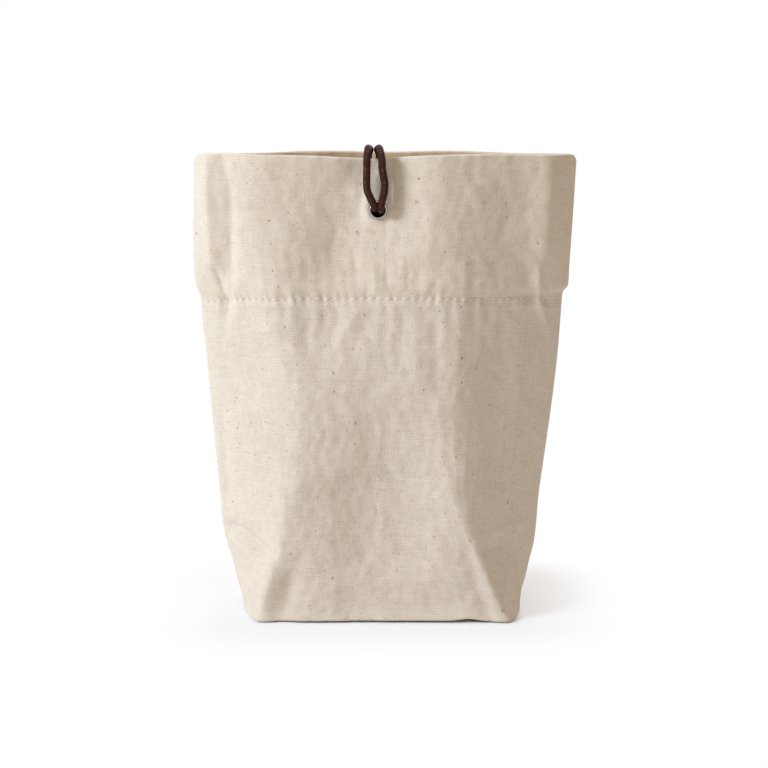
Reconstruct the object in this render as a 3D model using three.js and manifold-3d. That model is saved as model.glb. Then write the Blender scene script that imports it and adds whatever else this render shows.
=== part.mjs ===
// A small canvas pouch that stands open on its boxed base. A deep hem is turned in round the
// mouth, and an elastic cord loop, tied off inside, comes out of an eyelet in the front hem and
// goes up over the front rim into the mouth.
// Lengths are millimetres. +Z is up and the front faces -Y, with +X to the right of the front.
// The origin is under the middle of the base.

import * as THREE from "three";
import { mergeVertices } from "three/addons/utils/BufferGeometryUtils.js";
import Module from "manifold-3d";

// Driving sizes of the cloth

const POUCH_HEIGHT = 200;
const RIM_WIDTH = 164.6;
const MOUTH_DEPTH = 37;
const BASE_WIDTH = 108.8;
const BASE_DEPTH = 61;
const BASE_SIDE_BOW = 6.6;
const KNEE_HEIGHT = 33;
const KNEE_WIDTH = 138.4;
const KNEE_FULLNESS = 1.3;
const WAIST_WIDTH = 157.2;
const CUFF_WIDTH = 161.2;
const CUFF_RISE = 8;
const RIDGE_HEIGHT = 75;
const RIDGE_INSET = 19.4;
const SIDE_BULGE = 2;
const LOW_LENS_FULLNESS = 3.2;
const RIM_LENS_FULLNESS = 2;
const CANVAS = 0.9;
const HEM_DEPTH = 62.6;
const HEM_STITCH_DROP = 59.4;
const HEM_DIP = 3;
const GAP = 0.3;

// How far round the outline the side panels reach, in shares of the way from the side fold to
// the middle of the front: past the base corner below, and near the side fold at the rim

const RIDGE_SHARE = 0.4;
const LOW_SIDE_SHARE = 0.45;
const RIM_SIDE_SHARE = 0.2;

// Sewing

const THREAD = 0.6;
const SEAM_ALLOWANCE = 8;
const SIDE_SEAM_SHARE = 0.17;
const CORNER_SEAM_INSET = 7.5;
const THREAD_END_SHARE = 0.012;
const SIDE_THREAD_END_SHARE = 0.06;

// Eyelet

const EYELET_X = -3.1;
const EYELET_DROP = 22;
const EYELET_BORE = 5.7;
const EYELET_WALL = 0.3;
const EYELET_FLANGE = 7.8;
const EYELET_ROLL = 0.75;
const CLINCH_THICK = 0.5;
const CLINCH_STEP = 0.2;
const WASHER_WIDTH = 1.6;
const WASHER_THICK = 0.5;

// Elastic cord

const CORD = 3;
const KNOT_WIDTH = 9.6;
const KNOT_DEPTH = 6;
const KNOT_HEIGHT = 8.2;
const CREST_RADIUS = 5.8;
const CREST_LIFT = 5.3;
const CREST_SETBACK = 0.65;
const FLIP_DEGREES = 45;
const BIGHT_RADIUS = 5;
const BIGHT_DROP = 7.5;
const TAIL_LENGTH = 14;

// Where each strand lies, left to right: at its widest, in front of the rim and on top of it

const LEFT_STRAND = { side: -1, bowX: -7.9, frontX: -7.8, crestX: -7.1 };
const RIGHT_STRAND = { side: 1, bowX: -0.3, frontX: -1.4, crestX: -2.7 };

// Mesh steps

const FRONT_COLUMNS = 20;
const ROUND_SIDES = 20;
const CORD_SIDES = 8;
const THREAD_SIDES = 6;

const wasm = await Module();
wasm.setup();

// Materials

const canvas = new THREE.MeshStandardMaterial({ color: 0xd6cab6, roughness: 0.95, metalness: 0 });
const sewingThread = new THREE.MeshStandardMaterial({ color: 0xece3d3, roughness: 0.8, metalness: 0 });
const nickel = new THREE.MeshStandardMaterial({ color: 0xcfcfcc, roughness: 0.28, metalness: 1 });
const elasticCord = new THREE.MeshStandardMaterial({ color: 0x3a221b, roughness: 0.7, metalness: 0 });

// Outline of the cloth, as seen from above at a height

const smooth = (low, high, value) => {
  const t = Math.min(1, Math.max(0, (value - low) / (high - low)));
  return t * t * (3 - 2 * t);
};
const mix = (a, b, t) => a + (b - a) * t;

const hemLine = POUCH_HEIGHT - HEM_STITCH_DROP;
const wallFoot = CANVAS + GAP;

function halfWidth(z) {
  if (z < KNEE_HEIGHT) {
    const foot = BASE_WIDTH / 2 + BASE_SIDE_BOW;
    return mix(foot, KNEE_WIDTH / 2, 1 - Math.pow(1 - z / KNEE_HEIGHT, KNEE_FULLNESS));
  }
  const waist = mix(KNEE_WIDTH / 2, WAIST_WIDTH / 2, (z - KNEE_HEIGHT) / (hemLine - KNEE_HEIGHT));
  const cuff = mix(CUFF_WIDTH / 2, RIM_WIDTH / 2, (z - hemLine) / (POUCH_HEIGHT - hemLine));
  return mix(waist, cuff, smooth(hemLine, hemLine + CUFF_RISE, z));
}

function halfDepth(z) {
  return mix(BASE_DEPTH / 2, MOUTH_DEPTH / 2, z / POUCH_HEIGHT);
}

// One quarter of the outline: share 0 is the side fold and share 1 the middle of the front.
// Low down the cloth folds over a ridge that climbs inwards from the base corner, and higher up
// it is a lens that grows thinner towards the rim. A share below 0 is on the back.
function quarter(share, z) {
  if (share < 0) {
    const [x, y] = quarter(-share, z);
    return [x, -y];
  }
  const width = halfWidth(z);
  const depth = halfDepth(z);
  const folded = 1 - smooth(KNEE_HEIGHT, POUCH_HEIGHT / 2, z);
  const ridge = BASE_WIDTH / 2 - RIDGE_INSET * z / RIDGE_HEIGHT;
  let x = mix(ridge, 0, (share - RIDGE_SHARE) / (1 - RIDGE_SHARE));
  let y = -depth;
  if (share < RIDGE_SHARE) {
    const along = share / RIDGE_SHARE;
    x = mix(width, ridge, along) + SIDE_BULGE * Math.sin(Math.PI * along);
    y = -depth * along;
  }
  const fullness = mix(LOW_LENS_FULLNESS, RIM_LENS_FULLNESS, z / POUCH_HEIGHT);
  const lensX = width * (1 - share);
  const lensY = -depth * (1 - Math.pow(1 - share, fullness));
  return [mix(lensX, x, folded), mix(lensY, y, folded)];
}

// The whole outline: 0 is the right side fold, 1 the middle of the front, 2 the left side fold
// and 3 the middle of the back
function outline(round, z) {
  const turn = ((round % 4) + 4) % 4;
  if (turn <= 1) {
    return quarter(turn, z);
  }
  if (turn <= 2) {
    const [x, y] = quarter(2 - turn, z);
    return [-x, y];
  }
  if (turn <= 3) {
    const [x, y] = quarter(turn - 2, z);
    return [-x, -y];
  }
  const [x, y] = quarter(4 - turn, z);
  return [x, -y];
}

// A point that lies a depth inside the outline, along the mitre of the cloth on both sides of it
function inside(round, z, depth) {
  const step = 0.01;
  const here = outline(round, z);
  const before = outline(round - step, z);
  const after = outline(round + step, z);
  const first = unitNormal(before, here);
  const second = unitNormal(here, after);
  const dot = first[0] * second[0] + first[1] * second[1];
  return [
    here[0] + depth * (first[0] + second[0]) / (1 + dot),
    here[1] + depth * (first[1] + second[1]) / (1 + dot),
  ];
}

// The outline runs clockwise when seen from above, so its inner side is on the right
function unitNormal(from, to) {
  const dx = to[0] - from[0];
  const dy = to[1] - from[1];
  const length = Math.hypot(dx, dy);
  return [dy / length, -dx / length];
}

// Cloth layers

function toGeometry(points, faces) {
  const geometry = new THREE.BufferGeometry();
  geometry.setAttribute("position", new THREE.Float32BufferAttribute(points.flat(), 3));
  geometry.setIndex(faces.flat());
  geometry.computeVertexNormals();
  return geometry;
}

function levels(...stops) {
  const heights = [];
  for (let i = 0; i < stops.length - 1; i += 1) {
    const [from, to, count] = [stops[i][0], stops[i + 1][0], stops[i][1]];
    for (let k = 0; k < count; k += 1) {
      heights.push(mix(from, to, k / count));
    }
  }
  heights.push(stops[stops.length - 1][0]);
  return heights;
}

// A layer of cloth between two edges of the outline. Its ends are cut straight front to back,
// so that a front that leans slides past the side panels
function clothLayer({ edges, shares, heights, depth, thickness, dip = () => 0 }) {
  const points = [];
  const columns = shares.length;
  const half = GAP / 2;
  for (const level of heights) {
    for (const [column, share] of shares.entries()) {
      const z = level - dip(mix(...edges(level), share), level);
      const round = mix(...edges(z), share);
      const last = column === columns - 1;
      const atEnd = column === 0 || last;
      const outer = depth === 0 ? outline(round, z) : inside(round, z, depth);
      const inner = inside(round, z, depth + thickness);
      if (atEnd) {
        const surface = outline(round, z);
        const beside = outline(round + (last ? -0.01 : 0.01), z);
        const tuck = Math.sign(beside[0] - surface[0]) * half;
        const rise = inside(round, z, 1)[1] - surface[1];
        const run = inside(round, z, 1)[0] - surface[0];
        const slope = (beside[1] - surface[1]) / (beside[0] - surface[0]);
        const straight = rise - run * slope;
        for (const [point, down] of [[outer, depth], [inner, depth + thickness]]) {
          point[0] = surface[0] + tuck;
          point[1] = surface[1] + straight * down + tuck * slope;
        }
      }
      points.push([...outer, z], [...inner, z]);
    }
  }
  const at = (row, column, layer) => 2 * (row * columns + column) + layer;
  const faces = [];
  const quad = (a, b, c, d) => faces.push([a, b, c], [a, c, d]);
  for (let r = 0; r < heights.length - 1; r += 1) {
    for (let c = 0; c < columns - 1; c += 1) {
      quad(at(r, c, 0), at(r + 1, c, 0), at(r + 1, c + 1, 0), at(r, c + 1, 0));
      quad(at(r, c, 1), at(r, c + 1, 1), at(r + 1, c + 1, 1), at(r + 1, c, 1));
    }
    const end = columns - 1;
    quad(at(r, 0, 0), at(r, 0, 1), at(r + 1, 0, 1), at(r + 1, 0, 0));
    quad(at(r, end, 0), at(r + 1, end, 0), at(r + 1, end, 1), at(r, end, 1));
  }
  const top = heights.length - 1;
  for (let c = 0; c < columns - 1; c += 1) {
    quad(at(0, c, 0), at(0, c + 1, 0), at(0, c + 1, 1), at(0, c, 1));
    quad(at(top, c, 0), at(top, c, 1), at(top, c + 1, 1), at(top, c + 1, 0));
  }
  return toGeometry(points, faces);
}

function sideShare(z) {
  const climb = Math.max(0, (z - KNEE_HEIGHT) / (POUCH_HEIGHT - KNEE_HEIGHT));
  return mix(LOW_SIDE_SHARE, RIM_SIDE_SHARE, climb);
}

const evenShares = (count) => Array.from({ length: count + 1 }, (_, i) => i / count);
const ridgeAt = RIDGE_SHARE / LOW_SIDE_SHARE;
const bothSides = (half) => [...half.map((v) => -v).reverse(), 0, ...half].map((v) => (v + 1) / 2);
const sideShares = bothSides([0.16, 0.32, 0.48, 0.64, ridgeAt, 1]);
const sideHemShares = bothSides([0.32, 0.48, 0.64, ridgeAt, 1]);
const wallShares = evenShares(FRONT_COLUMNS);

const EDGES = {
  front: (z) => [sideShare(z), 2 - sideShare(z)],
  left_side: (z) => [2 - sideShare(z), 2 + sideShare(z)],
  back: (z) => [2 + sideShare(z), 4 - sideShare(z)],
  right_side: (z) => [-sideShare(z), sideShare(z)],
};

const wallLevels = levels(
  [wallFoot, 5],
  [KNEE_HEIGHT, 6],
  [POUCH_HEIGHT / 2, 3],
  [hemLine, 2],
  [hemLine + CUFF_RISE, 3],
  [POUCH_HEIGHT, 0],
);
const hemFoot = POUCH_HEIGHT - HEM_DEPTH;
const hemLevels = levels(
  [hemFoot, 1],
  [hemLine, 2],
  [hemLine + CUFF_RISE, 3],
  [POUCH_HEIGHT - GAP, 0],
);
const hemInset = CANVAS + GAP;
const linedDepth = hemInset + CANVAS;

function panelLayer(panel) {
  const shares = panel.endsWith("side") ? sideShares : wallShares;
  return clothLayer({ edges: EDGES[panel], shares, heights: wallLevels, depth: 0, thickness: CANVAS });
}

// The sewn line and the hem's edge lie lower towards the side folds
function hemDip(round, z) {
  const fromMiddle = outline(round, z)[0] / halfWidth(z);
  return HEM_DIP * fromMiddle * fromMiddle * Math.min(1, (POUCH_HEIGHT - z) / HEM_STITCH_DROP);
}

function hemLayer(panel) {
  return clothLayer({
    edges: EDGES[panel],
    shares: panel.endsWith("side") ? sideHemShares : wallShares,
    heights: hemLevels,
    depth: hemInset,
    thickness: CANVAS,
    dip: hemDip,
  });
}

// Joining and cutting solids

function toSolid(geometry) {
  const bare = geometry.clone();
  bare.deleteAttribute("normal");
  bare.deleteAttribute("uv");
  const merged = mergeVertices(bare, 1e-4);
  return new wasm.Manifold(new wasm.Mesh({
    numProp: 3,
    vertProperties: new Float32Array(merged.attributes.position.array),
    triVerts: new Uint32Array(merged.index.array),
  }));
}

function fromSolid(solid) {
  const mesh = solid.getMesh();
  const geometry = new THREE.BufferGeometry();
  geometry.setAttribute("position", new THREE.BufferAttribute(mesh.vertProperties, 3));
  geometry.setIndex(new THREE.BufferAttribute(mesh.triVerts, 1));
  geometry.computeVertexNormals();
  return geometry;
}

const cut = (geometry, tool) => fromSolid(toSolid(geometry).subtract(toSolid(tool)));
const join = (first, ...rest) =>
  fromSolid(rest.reduce((sum, next) => sum.add(toSolid(next)), toSolid(first)));

// Round tubes along a route

function tube(route, diameter, sides, steps) {
  const section = new THREE.Shape();
  for (let i = 0; i < sides; i += 1) {
    const angle = (2 * Math.PI * i) / sides;
    const place = [Math.cos(angle) * diameter / 2, Math.sin(angle) * diameter / 2];
    if (i === 0) {
      section.moveTo(...place);
    } else {
      section.lineTo(...place);
    }
  }
  section.closePath();
  const path = route.isCurve ? route : new THREE.CatmullRomCurve3(route, false, "centripetal");
  return new THREE.ExtrudeGeometry(section, {
    steps,
    bevelEnabled: false,
    curveSegments: 1,
    extrudePath: path,
  });
}

// A thread that lies on the cloth along the hem, outside it or inside it
function hemThread(panel, depth, steps) {
  const spare = panel.endsWith("side") ? SIDE_THREAD_END_SHARE : THREAD_END_SHARE;
  const route = [];
  for (let i = 0; i <= steps; i += 1) {
    const share = mix(spare, 1 - spare, i / steps);
    const z = hemLine - hemDip(mix(...EDGES[panel](hemLine), share), hemLine);
    route.push(new THREE.Vector3(...inside(mix(...EDGES[panel](z), share), z, depth), z));
  }
  return tube(route, THREAD, THREAD_SIDES, steps);
}

const needleDepth = -(GAP + THREAD / 2);
const bobbinDepth = linedDepth + GAP + THREAD / 2;

// Base, cut as one piece with the walls and folded up all round. Its corners are a little blunt

function basePanel() {
  const shape = new THREE.Shape();
  const marks = [0, 0.15, 0.3, RIDGE_SHARE - 0.03, RIDGE_SHARE + 0.03, 1];
  const ring = [];
  for (let side = 0; side < 4; side += 1) {
    const shares = side % 2 === 0 ? marks : marks.map((m) => 1 - m).reverse();
    for (const share of shares.slice(0, -1)) {
      ring.push(outline(side + share, 0));
    }
  }
  for (const [i, [x, y]] of ring.entries()) {
    if (i === 0) {
      shape.moveTo(x, y);
    } else {
      shape.lineTo(x, y);
    }
  }
  shape.closePath();
  return new THREE.ExtrudeGeometry(shape, { depth: CANVAS, bevelEnabled: false, curveSegments: 1 });
}

// Seam allowances: two raw edges sewn together and pressed flat against the inside

function sideSeam(round) {
  const [foot, top] = [wallFoot + 2 * CANVAS + 2 * GAP, hemFoot - HEM_DIP - GAP];
  const heights = [foot, ...wallLevels.filter((z) => z > foot && z < top), top];
  const step = 0.05;
  const reach = (z) => {
    const here = outline(round, z);
    const near = outline(round + step, z);
    return step * SEAM_ALLOWANCE / Math.hypot(near[0] - here[0], near[1] - here[1]);
  };
  const points = [];
  for (const z of heights) {
    for (const share of [round, round + reach(z)]) {
      points.push([...inside(share, z, hemInset), z]);
      points.push([...inside(share, z, hemInset + 2 * CANVAS), z]);
    }
  }
  const faces = [];
  const quad = (a, b, c, d) => faces.push([a, b, c], [a, c, d]);
  for (let r = 0; r < heights.length - 1; r += 1) {
    const [a, b, c, d] = [4 * r, 4 * r + 1, 4 * r + 3, 4 * r + 2];
    quad(a, a + 4, d + 4, d);
    quad(b, c, c + 4, b + 4);
    quad(a, b, b + 4, a + 4);
    quad(d, d + 4, c + 4, c);
  }
  const last = 4 * (heights.length - 1);
  quad(0, 2, 3, 1);
  quad(last, last + 1, last + 3, last + 2);
  return toGeometry(points, faces);
}

function cornerSeam(side) {
  const length = BASE_DEPTH - 2 * CORNER_SEAM_INSET;
  const strip = new THREE.BoxGeometry(SEAM_ALLOWANCE, length, 2 * CANVAS);
  const wallInside = BASE_WIDTH / 2 - 2 * CANVAS - GAP;
  strip.translate(side * (wallInside - SEAM_ALLOWANCE / 2), 0, wallFoot + CANVAS);
  return strip;
}

// Eyelet. Its own axis is drawn along +Y and out of the cloth, then turned to the front wall

const eyeletZ = POUCH_HEIGHT - EYELET_DROP;
const eyeletFace = outline(1 - EYELET_X / halfWidth(eyeletZ), eyeletZ);
const wallLean = Math.atan((BASE_DEPTH - MOUTH_DEPTH) / 2 / POUCH_HEIGHT);
const barrelRadius = EYELET_BORE / 2 + EYELET_WALL;

function onEyelet(geometry) {
  geometry.rotateX(Math.PI - wallLean);
  geometry.translate(EYELET_X, eyeletFace[1], eyeletZ);
  return geometry;
}

const holeTool = () =>
  onEyelet(new THREE.CylinderGeometry(barrelRadius + GAP, barrelRadius + GAP, 8 * CANVAS, ROUND_SIDES));

const washerFront = -(linedDepth + GAP);
const clinchFront = washerFront - WASHER_THICK - GAP;
const clinchBack = clinchFront - CLINCH_THICK;

function lathe(profile) {
  const points = [...profile, profile[0]].map(([r, h]) => new THREE.Vector2(r, h));
  return new THREE.LatheGeometry(points, ROUND_SIDES);
}

function eyeletBarrel() {
  const bore = EYELET_BORE / 2;
  const flange = EYELET_FLANGE / 2;
  return onEyelet(lathe([
    [bore, clinchBack],
    [flange - CLINCH_STEP, clinchBack],
    [flange - CLINCH_STEP, clinchFront],
    [barrelRadius, clinchFront],
    [barrelRadius, GAP],
    [flange, GAP],
    [flange, GAP + EYELET_ROLL * 0.55],
    [(flange + bore) / 2, GAP + EYELET_ROLL],
    [bore, GAP + EYELET_ROLL * 0.55],
  ]));
}

function eyeletWasher() {
  const bore = barrelRadius + GAP;
  const rim = bore + WASHER_WIDTH;
  return onEyelet(lathe([
    [bore, washerFront - WASHER_THICK],
    [rim, washerFront - WASHER_THICK],
    [rim, washerFront],
    [bore, washerFront],
  ]));
}

// Elastic cord. The knot's neck fills the eyelet, and each strand starts in front of it

const neckRadius = EYELET_BORE / 2 - GAP;
const neckFace = GAP + EYELET_ROLL + GAP;
const knotFront = clinchBack - GAP;

function loopKnot() {
  const neckLength = neckFace - knotFront + KNOT_DEPTH / 2;
  const neck = new THREE.CylinderGeometry(neckRadius, neckRadius, neckLength, 16);
  neck.translate(0, neckFace - neckLength / 2, 0);
  const wrap = new THREE.SphereGeometry(1, 16, 10);
  wrap.scale(KNOT_WIDTH / 2, KNOT_DEPTH / 2, KNOT_HEIGHT / 2);
  wrap.translate(0, knotFront - KNOT_DEPTH / 2, 0);
  const lobe = new THREE.SphereGeometry(KNOT_DEPTH * 0.42, 12, 8);
  lobe.scale(1.2, 1, 1);
  lobe.translate(KNOT_WIDTH * 0.24, knotFront - KNOT_DEPTH / 2, -KNOT_HEIGHT * 0.2);
  return onEyelet(join(neck, wrap, lobe));
}

const point = (x, y, z) => new THREE.Vector3(x, y, z);

// The middle of the arch that the cord makes over the rim, a little behind the rim's own middle
const archMiddleY = -(MOUTH_DEPTH / 2 - linedDepth / 2) + CREST_SETBACK;
const crestZ = POUCH_HEIGHT + CREST_LIFT - CREST_RADIUS - CORD / 2;

function strandRoute({ side, bowX, frontX }) {
  const y = eyeletFace[1] - neckFace - CORD * 0.12;
  const bendY = y - CORD * 0.83;
  const beside = EYELET_X + side * (CORD + GAP) / 2;
  const frontY = archMiddleY - CREST_RADIUS;
  const up = (share) => mix(eyeletZ, crestZ - GAP, share);
  return [
    point(beside, y, up(0.01)),
    point(beside, mix(y, bendY, 0.6), up(0.03)),
    point(mix(beside, bowX, 0.2), mix(y, bendY, 0.92), up(0.11)),
    point(mix(beside, bowX, 0.6), bendY, up(0.235)),
    point(mix(beside, bowX, 0.93), mix(bendY, frontY, 0.3), up(0.405)),
    point(bowX, mix(bendY, frontY, 0.7), up(0.585)),
    point(mix(bowX, frontX, 0.7), frontY, up(0.81)),
    point(frontX, frontY, up(0.92)),
    point(frontX, frontY, up(1)),
  ];
}

// A point of the arch over the rim: 180 degrees is in front of it and 0 is behind it
function archPoint({ frontX, crestX }, degrees) {
  const angle = degrees * Math.PI / 180;
  return point(
    mix(frontX, crestX, smooth(0, 90, 180 - degrees)),
    archMiddleY + CREST_RADIUS * Math.cos(angle),
    crestZ + CREST_RADIUS * Math.sin(angle),
  );
}

function crestRoute(strand) {
  const roomForTurn = (CORD / 2 + GAP) / CREST_RADIUS * 180 / Math.PI;
  const route = [];
  for (let i = 0; i <= 8; i += 1) {
    route.push(archPoint(strand, mix(180, FLIP_DEGREES + roomForTurn, i / 8)));
  }
  return route;
}

function bightRoute() {
  const [left, right] = [LEFT_STRAND.crestX, RIGHT_STRAND.crestX];
  const middle = (left + right) / 2;
  const behind = archMiddleY + CREST_RADIUS;
  const turnZ = crestZ - BIGHT_DROP;
  const down = [
    archPoint(LEFT_STRAND, FLIP_DEGREES),
    archPoint(LEFT_STRAND, FLIP_DEGREES / 2),
    archPoint(LEFT_STRAND, 0),
    point(mix(left, middle - BIGHT_RADIUS, 0.55), behind, mix(crestZ, turnZ, 0.5)),
  ];
  const turn = [180, 216, 252, 288, 324, 360].map((degrees) => {
    const angle = degrees * Math.PI / 180;
    return point(
      middle + BIGHT_RADIUS * Math.cos(angle),
      behind,
      turnZ + BIGHT_RADIUS * Math.sin(angle),
    );
  });
  const up = [
    point(mix(right, middle + BIGHT_RADIUS, 0.55), behind, mix(crestZ, turnZ, 0.5)),
    archPoint(RIGHT_STRAND, 0),
    archPoint(RIGHT_STRAND, FLIP_DEGREES / 2),
    archPoint(RIGHT_STRAND, FLIP_DEGREES),
  ];
  return [...down, ...turn, ...up];
}

// The free end of the loop turns about the two round ends that it starts with
function loopBight() {
  const ends = [LEFT_STRAND, RIGHT_STRAND].map((strand) => {
    const ball = new THREE.SphereGeometry(CORD / 2, 12, 8);
    const place = archPoint(strand, FLIP_DEGREES);
    ball.translate(place.x, place.y, place.z);
    return ball;
  });
  return join(tube(bightRoute(), CORD, CORD_SIDES, 34), ...ends);
}

function tailRoute({ side }) {
  const y = eyeletFace[1] - knotFront + KNOT_DEPTH * 0.45;
  const z = eyeletZ - KNOT_HEIGHT / 2 - 3 * GAP;
  const x = EYELET_X + side * (CORD / 2 + GAP);
  const spread = side * CORD;
  return [
    point(x, y, z),
    point(x + 0.2 * spread, y, z - TAIL_LENGTH * 0.3),
    point(x + 0.5 * spread, y - CORD * 0.15, z - TAIL_LENGTH * 0.6),
    point(x + 0.7 * spread, y - CORD * 0.4, z - TAIL_LENGTH),
  ];
}

// The assembly

const pouch = new THREE.Group();

function add(name, geometry, material) {
  const mesh = new THREE.Mesh(geometry, material);
  mesh.name = name;
  pouch.add(mesh);
}

add("base_panel", basePanel(), canvas);
add("front_panel", cut(panelLayer("front"), holeTool()), canvas);
add("back_panel", panelLayer("back"), canvas);
add("left_side_panel", panelLayer("left_side"), canvas);
add("right_side_panel", panelLayer("right_side"), canvas);

add("front_hem", cut(hemLayer("front"), holeTool()), canvas);
add("back_hem", hemLayer("back"), canvas);
add("left_side_hem", hemLayer("left_side"), canvas);
add("right_side_hem", hemLayer("right_side"), canvas);

for (const [panel, steps] of [["front", 30], ["back", 30], ["left_side", 10], ["right_side", 10]]) {
  add(`${panel}_hem_stitching`, hemThread(panel, needleDepth, steps), sewingThread);
  add(`${panel}_hem_bobbin_thread`, hemThread(panel, bobbinDepth, steps), sewingThread);
}

add("right_side_seam", sideSeam(SIDE_SEAM_SHARE), canvas);
add("left_side_seam", sideSeam(2 + SIDE_SEAM_SHARE), canvas);
add("right_corner_seam", cornerSeam(1), canvas);
add("left_corner_seam", cornerSeam(-1), canvas);

add("eyelet", eyeletBarrel(), nickel);
add("eyelet_washer", eyeletWasher(), nickel);

add("loop_knot", loopKnot(), elasticCord);
for (const [name, strand] of [["left", LEFT_STRAND], ["right", RIGHT_STRAND]]) {
  add(`loop_${name}_strand`, tube(strandRoute(strand), CORD, CORD_SIDES, 10), elasticCord);
  add(`loop_${name}_crest`, tube(crestRoute(strand), CORD, CORD_SIDES, 5), elasticCord);
  add(`knot_${name}_tail`, tube(tailRoute(strand), CORD, CORD_SIDES, 5), elasticCord);
}
add("loop_bight", loopBight(), elasticCord);

export default pouch;
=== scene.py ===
import functools
import math

import bmesh
import bpy
import numpy as np
from mathutils import Matrix, Vector


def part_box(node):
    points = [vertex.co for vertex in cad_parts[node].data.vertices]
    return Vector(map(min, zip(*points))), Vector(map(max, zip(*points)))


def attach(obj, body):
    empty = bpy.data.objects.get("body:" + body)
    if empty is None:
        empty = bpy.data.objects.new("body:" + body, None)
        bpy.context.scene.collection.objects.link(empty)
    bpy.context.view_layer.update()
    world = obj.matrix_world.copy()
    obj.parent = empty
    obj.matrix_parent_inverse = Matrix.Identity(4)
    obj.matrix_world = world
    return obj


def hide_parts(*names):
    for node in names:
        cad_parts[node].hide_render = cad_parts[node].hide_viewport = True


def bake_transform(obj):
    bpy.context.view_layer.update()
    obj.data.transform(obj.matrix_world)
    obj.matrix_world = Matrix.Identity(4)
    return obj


bl_info = {
    "name": "Canvas Pouch",
    "version": (1, 0, 0),
    "blender": (4, 5, 0),
    "location": "View3D > Sidebar > Pouch",
    "description": "Adds a canvas pouch with a turned-in hem and an elastic cord loop, piece by piece",
    "category": "Add Mesh",
}

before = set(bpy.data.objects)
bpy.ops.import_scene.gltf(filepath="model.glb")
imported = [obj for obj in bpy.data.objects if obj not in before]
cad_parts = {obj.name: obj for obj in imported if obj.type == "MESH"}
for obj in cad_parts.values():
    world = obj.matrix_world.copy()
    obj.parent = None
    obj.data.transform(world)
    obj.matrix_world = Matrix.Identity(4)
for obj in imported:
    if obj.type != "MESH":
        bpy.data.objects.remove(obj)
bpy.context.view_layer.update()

# Shapes are worked out in millimetres, with the front towards -Y, and scaled when a mesh is made

MM = 0.001


def in_mm(node):
    low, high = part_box(node)
    return low / MM, high / MM


RIM_Z = in_mm("front_panel")[1].z
EYELET_BOX = in_mm("eyelet")
EYELET_X = (EYELET_BOX[0].x + EYELET_BOX[1].x) / 2
EYELET_Z = (EYELET_BOX[0].z + EYELET_BOX[1].z) / 2
HEM_FOOT_Z = in_mm("front_hem")[0].z + 1.5


# Sizes and colours that a user can change

def length_property(name, description, default, low, high):
    return bpy.props.FloatProperty(
        name=name, description=description, default=default, min=low, max=high, unit="LENGTH")


class PouchSizes(bpy.types.PropertyGroup):
    """Sizes of the cloth, the sewing and the cord"""

    cloth: length_property("Cloth", "Thickness of one layer of canvas", 0.0009, 0.0004, 0.002)
    rim: length_property("Rim", "Thickness of the two layers at the rim", 0.0021, 0.001, 0.004)
    stitch: length_property("Stitch", "Length of one stitch of the hem", 0.0034, 0.002, 0.005)
    thread: length_property("Thread", "Thickness of the sewing thread", 0.0006, 0.0003, 0.001)
    weft: length_property("Weft", "Distance between two ribs of the weave", 0.00087, 0.0004, 0.002)
    warp: length_property("Warp", "Distance between two warp yarns", 0.00045, 0.0003, 0.002)
    cord: length_property("Cord", "Diameter of the elastic cord", 0.0032, 0.002, 0.005)
    crumple: bpy.props.FloatProperty(
        name="Crumple", description="How strong the folds and dents of the cloth are",
        default=1.0, min=0.0, max=2.0, subtype="FACTOR")


def colour_property(name, description, default):
    return bpy.props.StringProperty(name=name, description=description, default=default, maxlen=6)


class PouchColours(bpy.types.PropertyGroup):
    """Colours of the finishes, as sRGB hex values"""

    canvas: colour_property("Canvas", "Lit side of the unbleached yarn", "E9DFD0")
    canvas_gap: colour_property("Canvas gap", "Shaded gaps between the yarns", "D3C4AE")
    fleck: colour_property("Fleck", "Husk flecks left in unbleached cotton", "A0743F")
    thread: colour_property("Thread", "Sewing thread", "F7F1E6")
    cord: colour_property("Cord", "Yarns of the braid", "431B0E")
    # Painted shade in the gaps of the braid
    cord_gap: colour_property("Cord gap", "Gaps between the yarns of the braid", "0D0503")
    nickel: colour_property("Nickel", "Plating of the eyelet", "B9B9B6")
    floor: colour_property("Floor", "Studio floor", "F4F5F7")


def sizes_mm():
    """The sizes as plain numbers in millimetres, and crumple as it is."""
    sizes = bpy.context.scene.pouch_sizes
    names = ("cloth", "rim", "stitch", "thread", "weft", "warp", "cord")
    found = {name: getattr(sizes, name) / MM for name in names}
    found["crumple"] = sizes.crumple
    return found


def linear(hex_value):
    """An sRGB hex value as linear RGBA."""
    parts = [int(hex_value[i:i + 2], 16) / 255 for i in (0, 2, 4)]
    return [p / 12.92 if p < 0.04045 else ((p + 0.055) / 1.055) ** 2.4 for p in parts] + [1]


# Curves that are read by height or by share

def smooth(low, high, value):
    t = np.clip((value - low) / (high - low), 0, 1)
    return t * t * (3 - 2 * t)


def mix(a, b, t):
    return a + (b - a) * t


def through(marks, value):
    """The smooth line through (place, size) marks, read at a place."""
    place, size = np.array(marks, float).T
    slope = np.gradient(size, place)
    i = np.clip(np.searchsorted(place, value) - 1, 0, len(place) - 2)
    gap = place[i + 1] - place[i]
    t = np.clip((value - place[i]) / gap, 0, 1)
    start = (1 + 2 * t) * (1 - t) ** 2 * size[i] + t * (1 - t) ** 2 * gap * slope[i]
    end = t * t * (3 - 2 * t) * size[i + 1] - t * t * (1 - t) * gap * slope[i + 1]
    return start + end


# Outline of the cloth. The marks are (height, distance from the middle)

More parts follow.
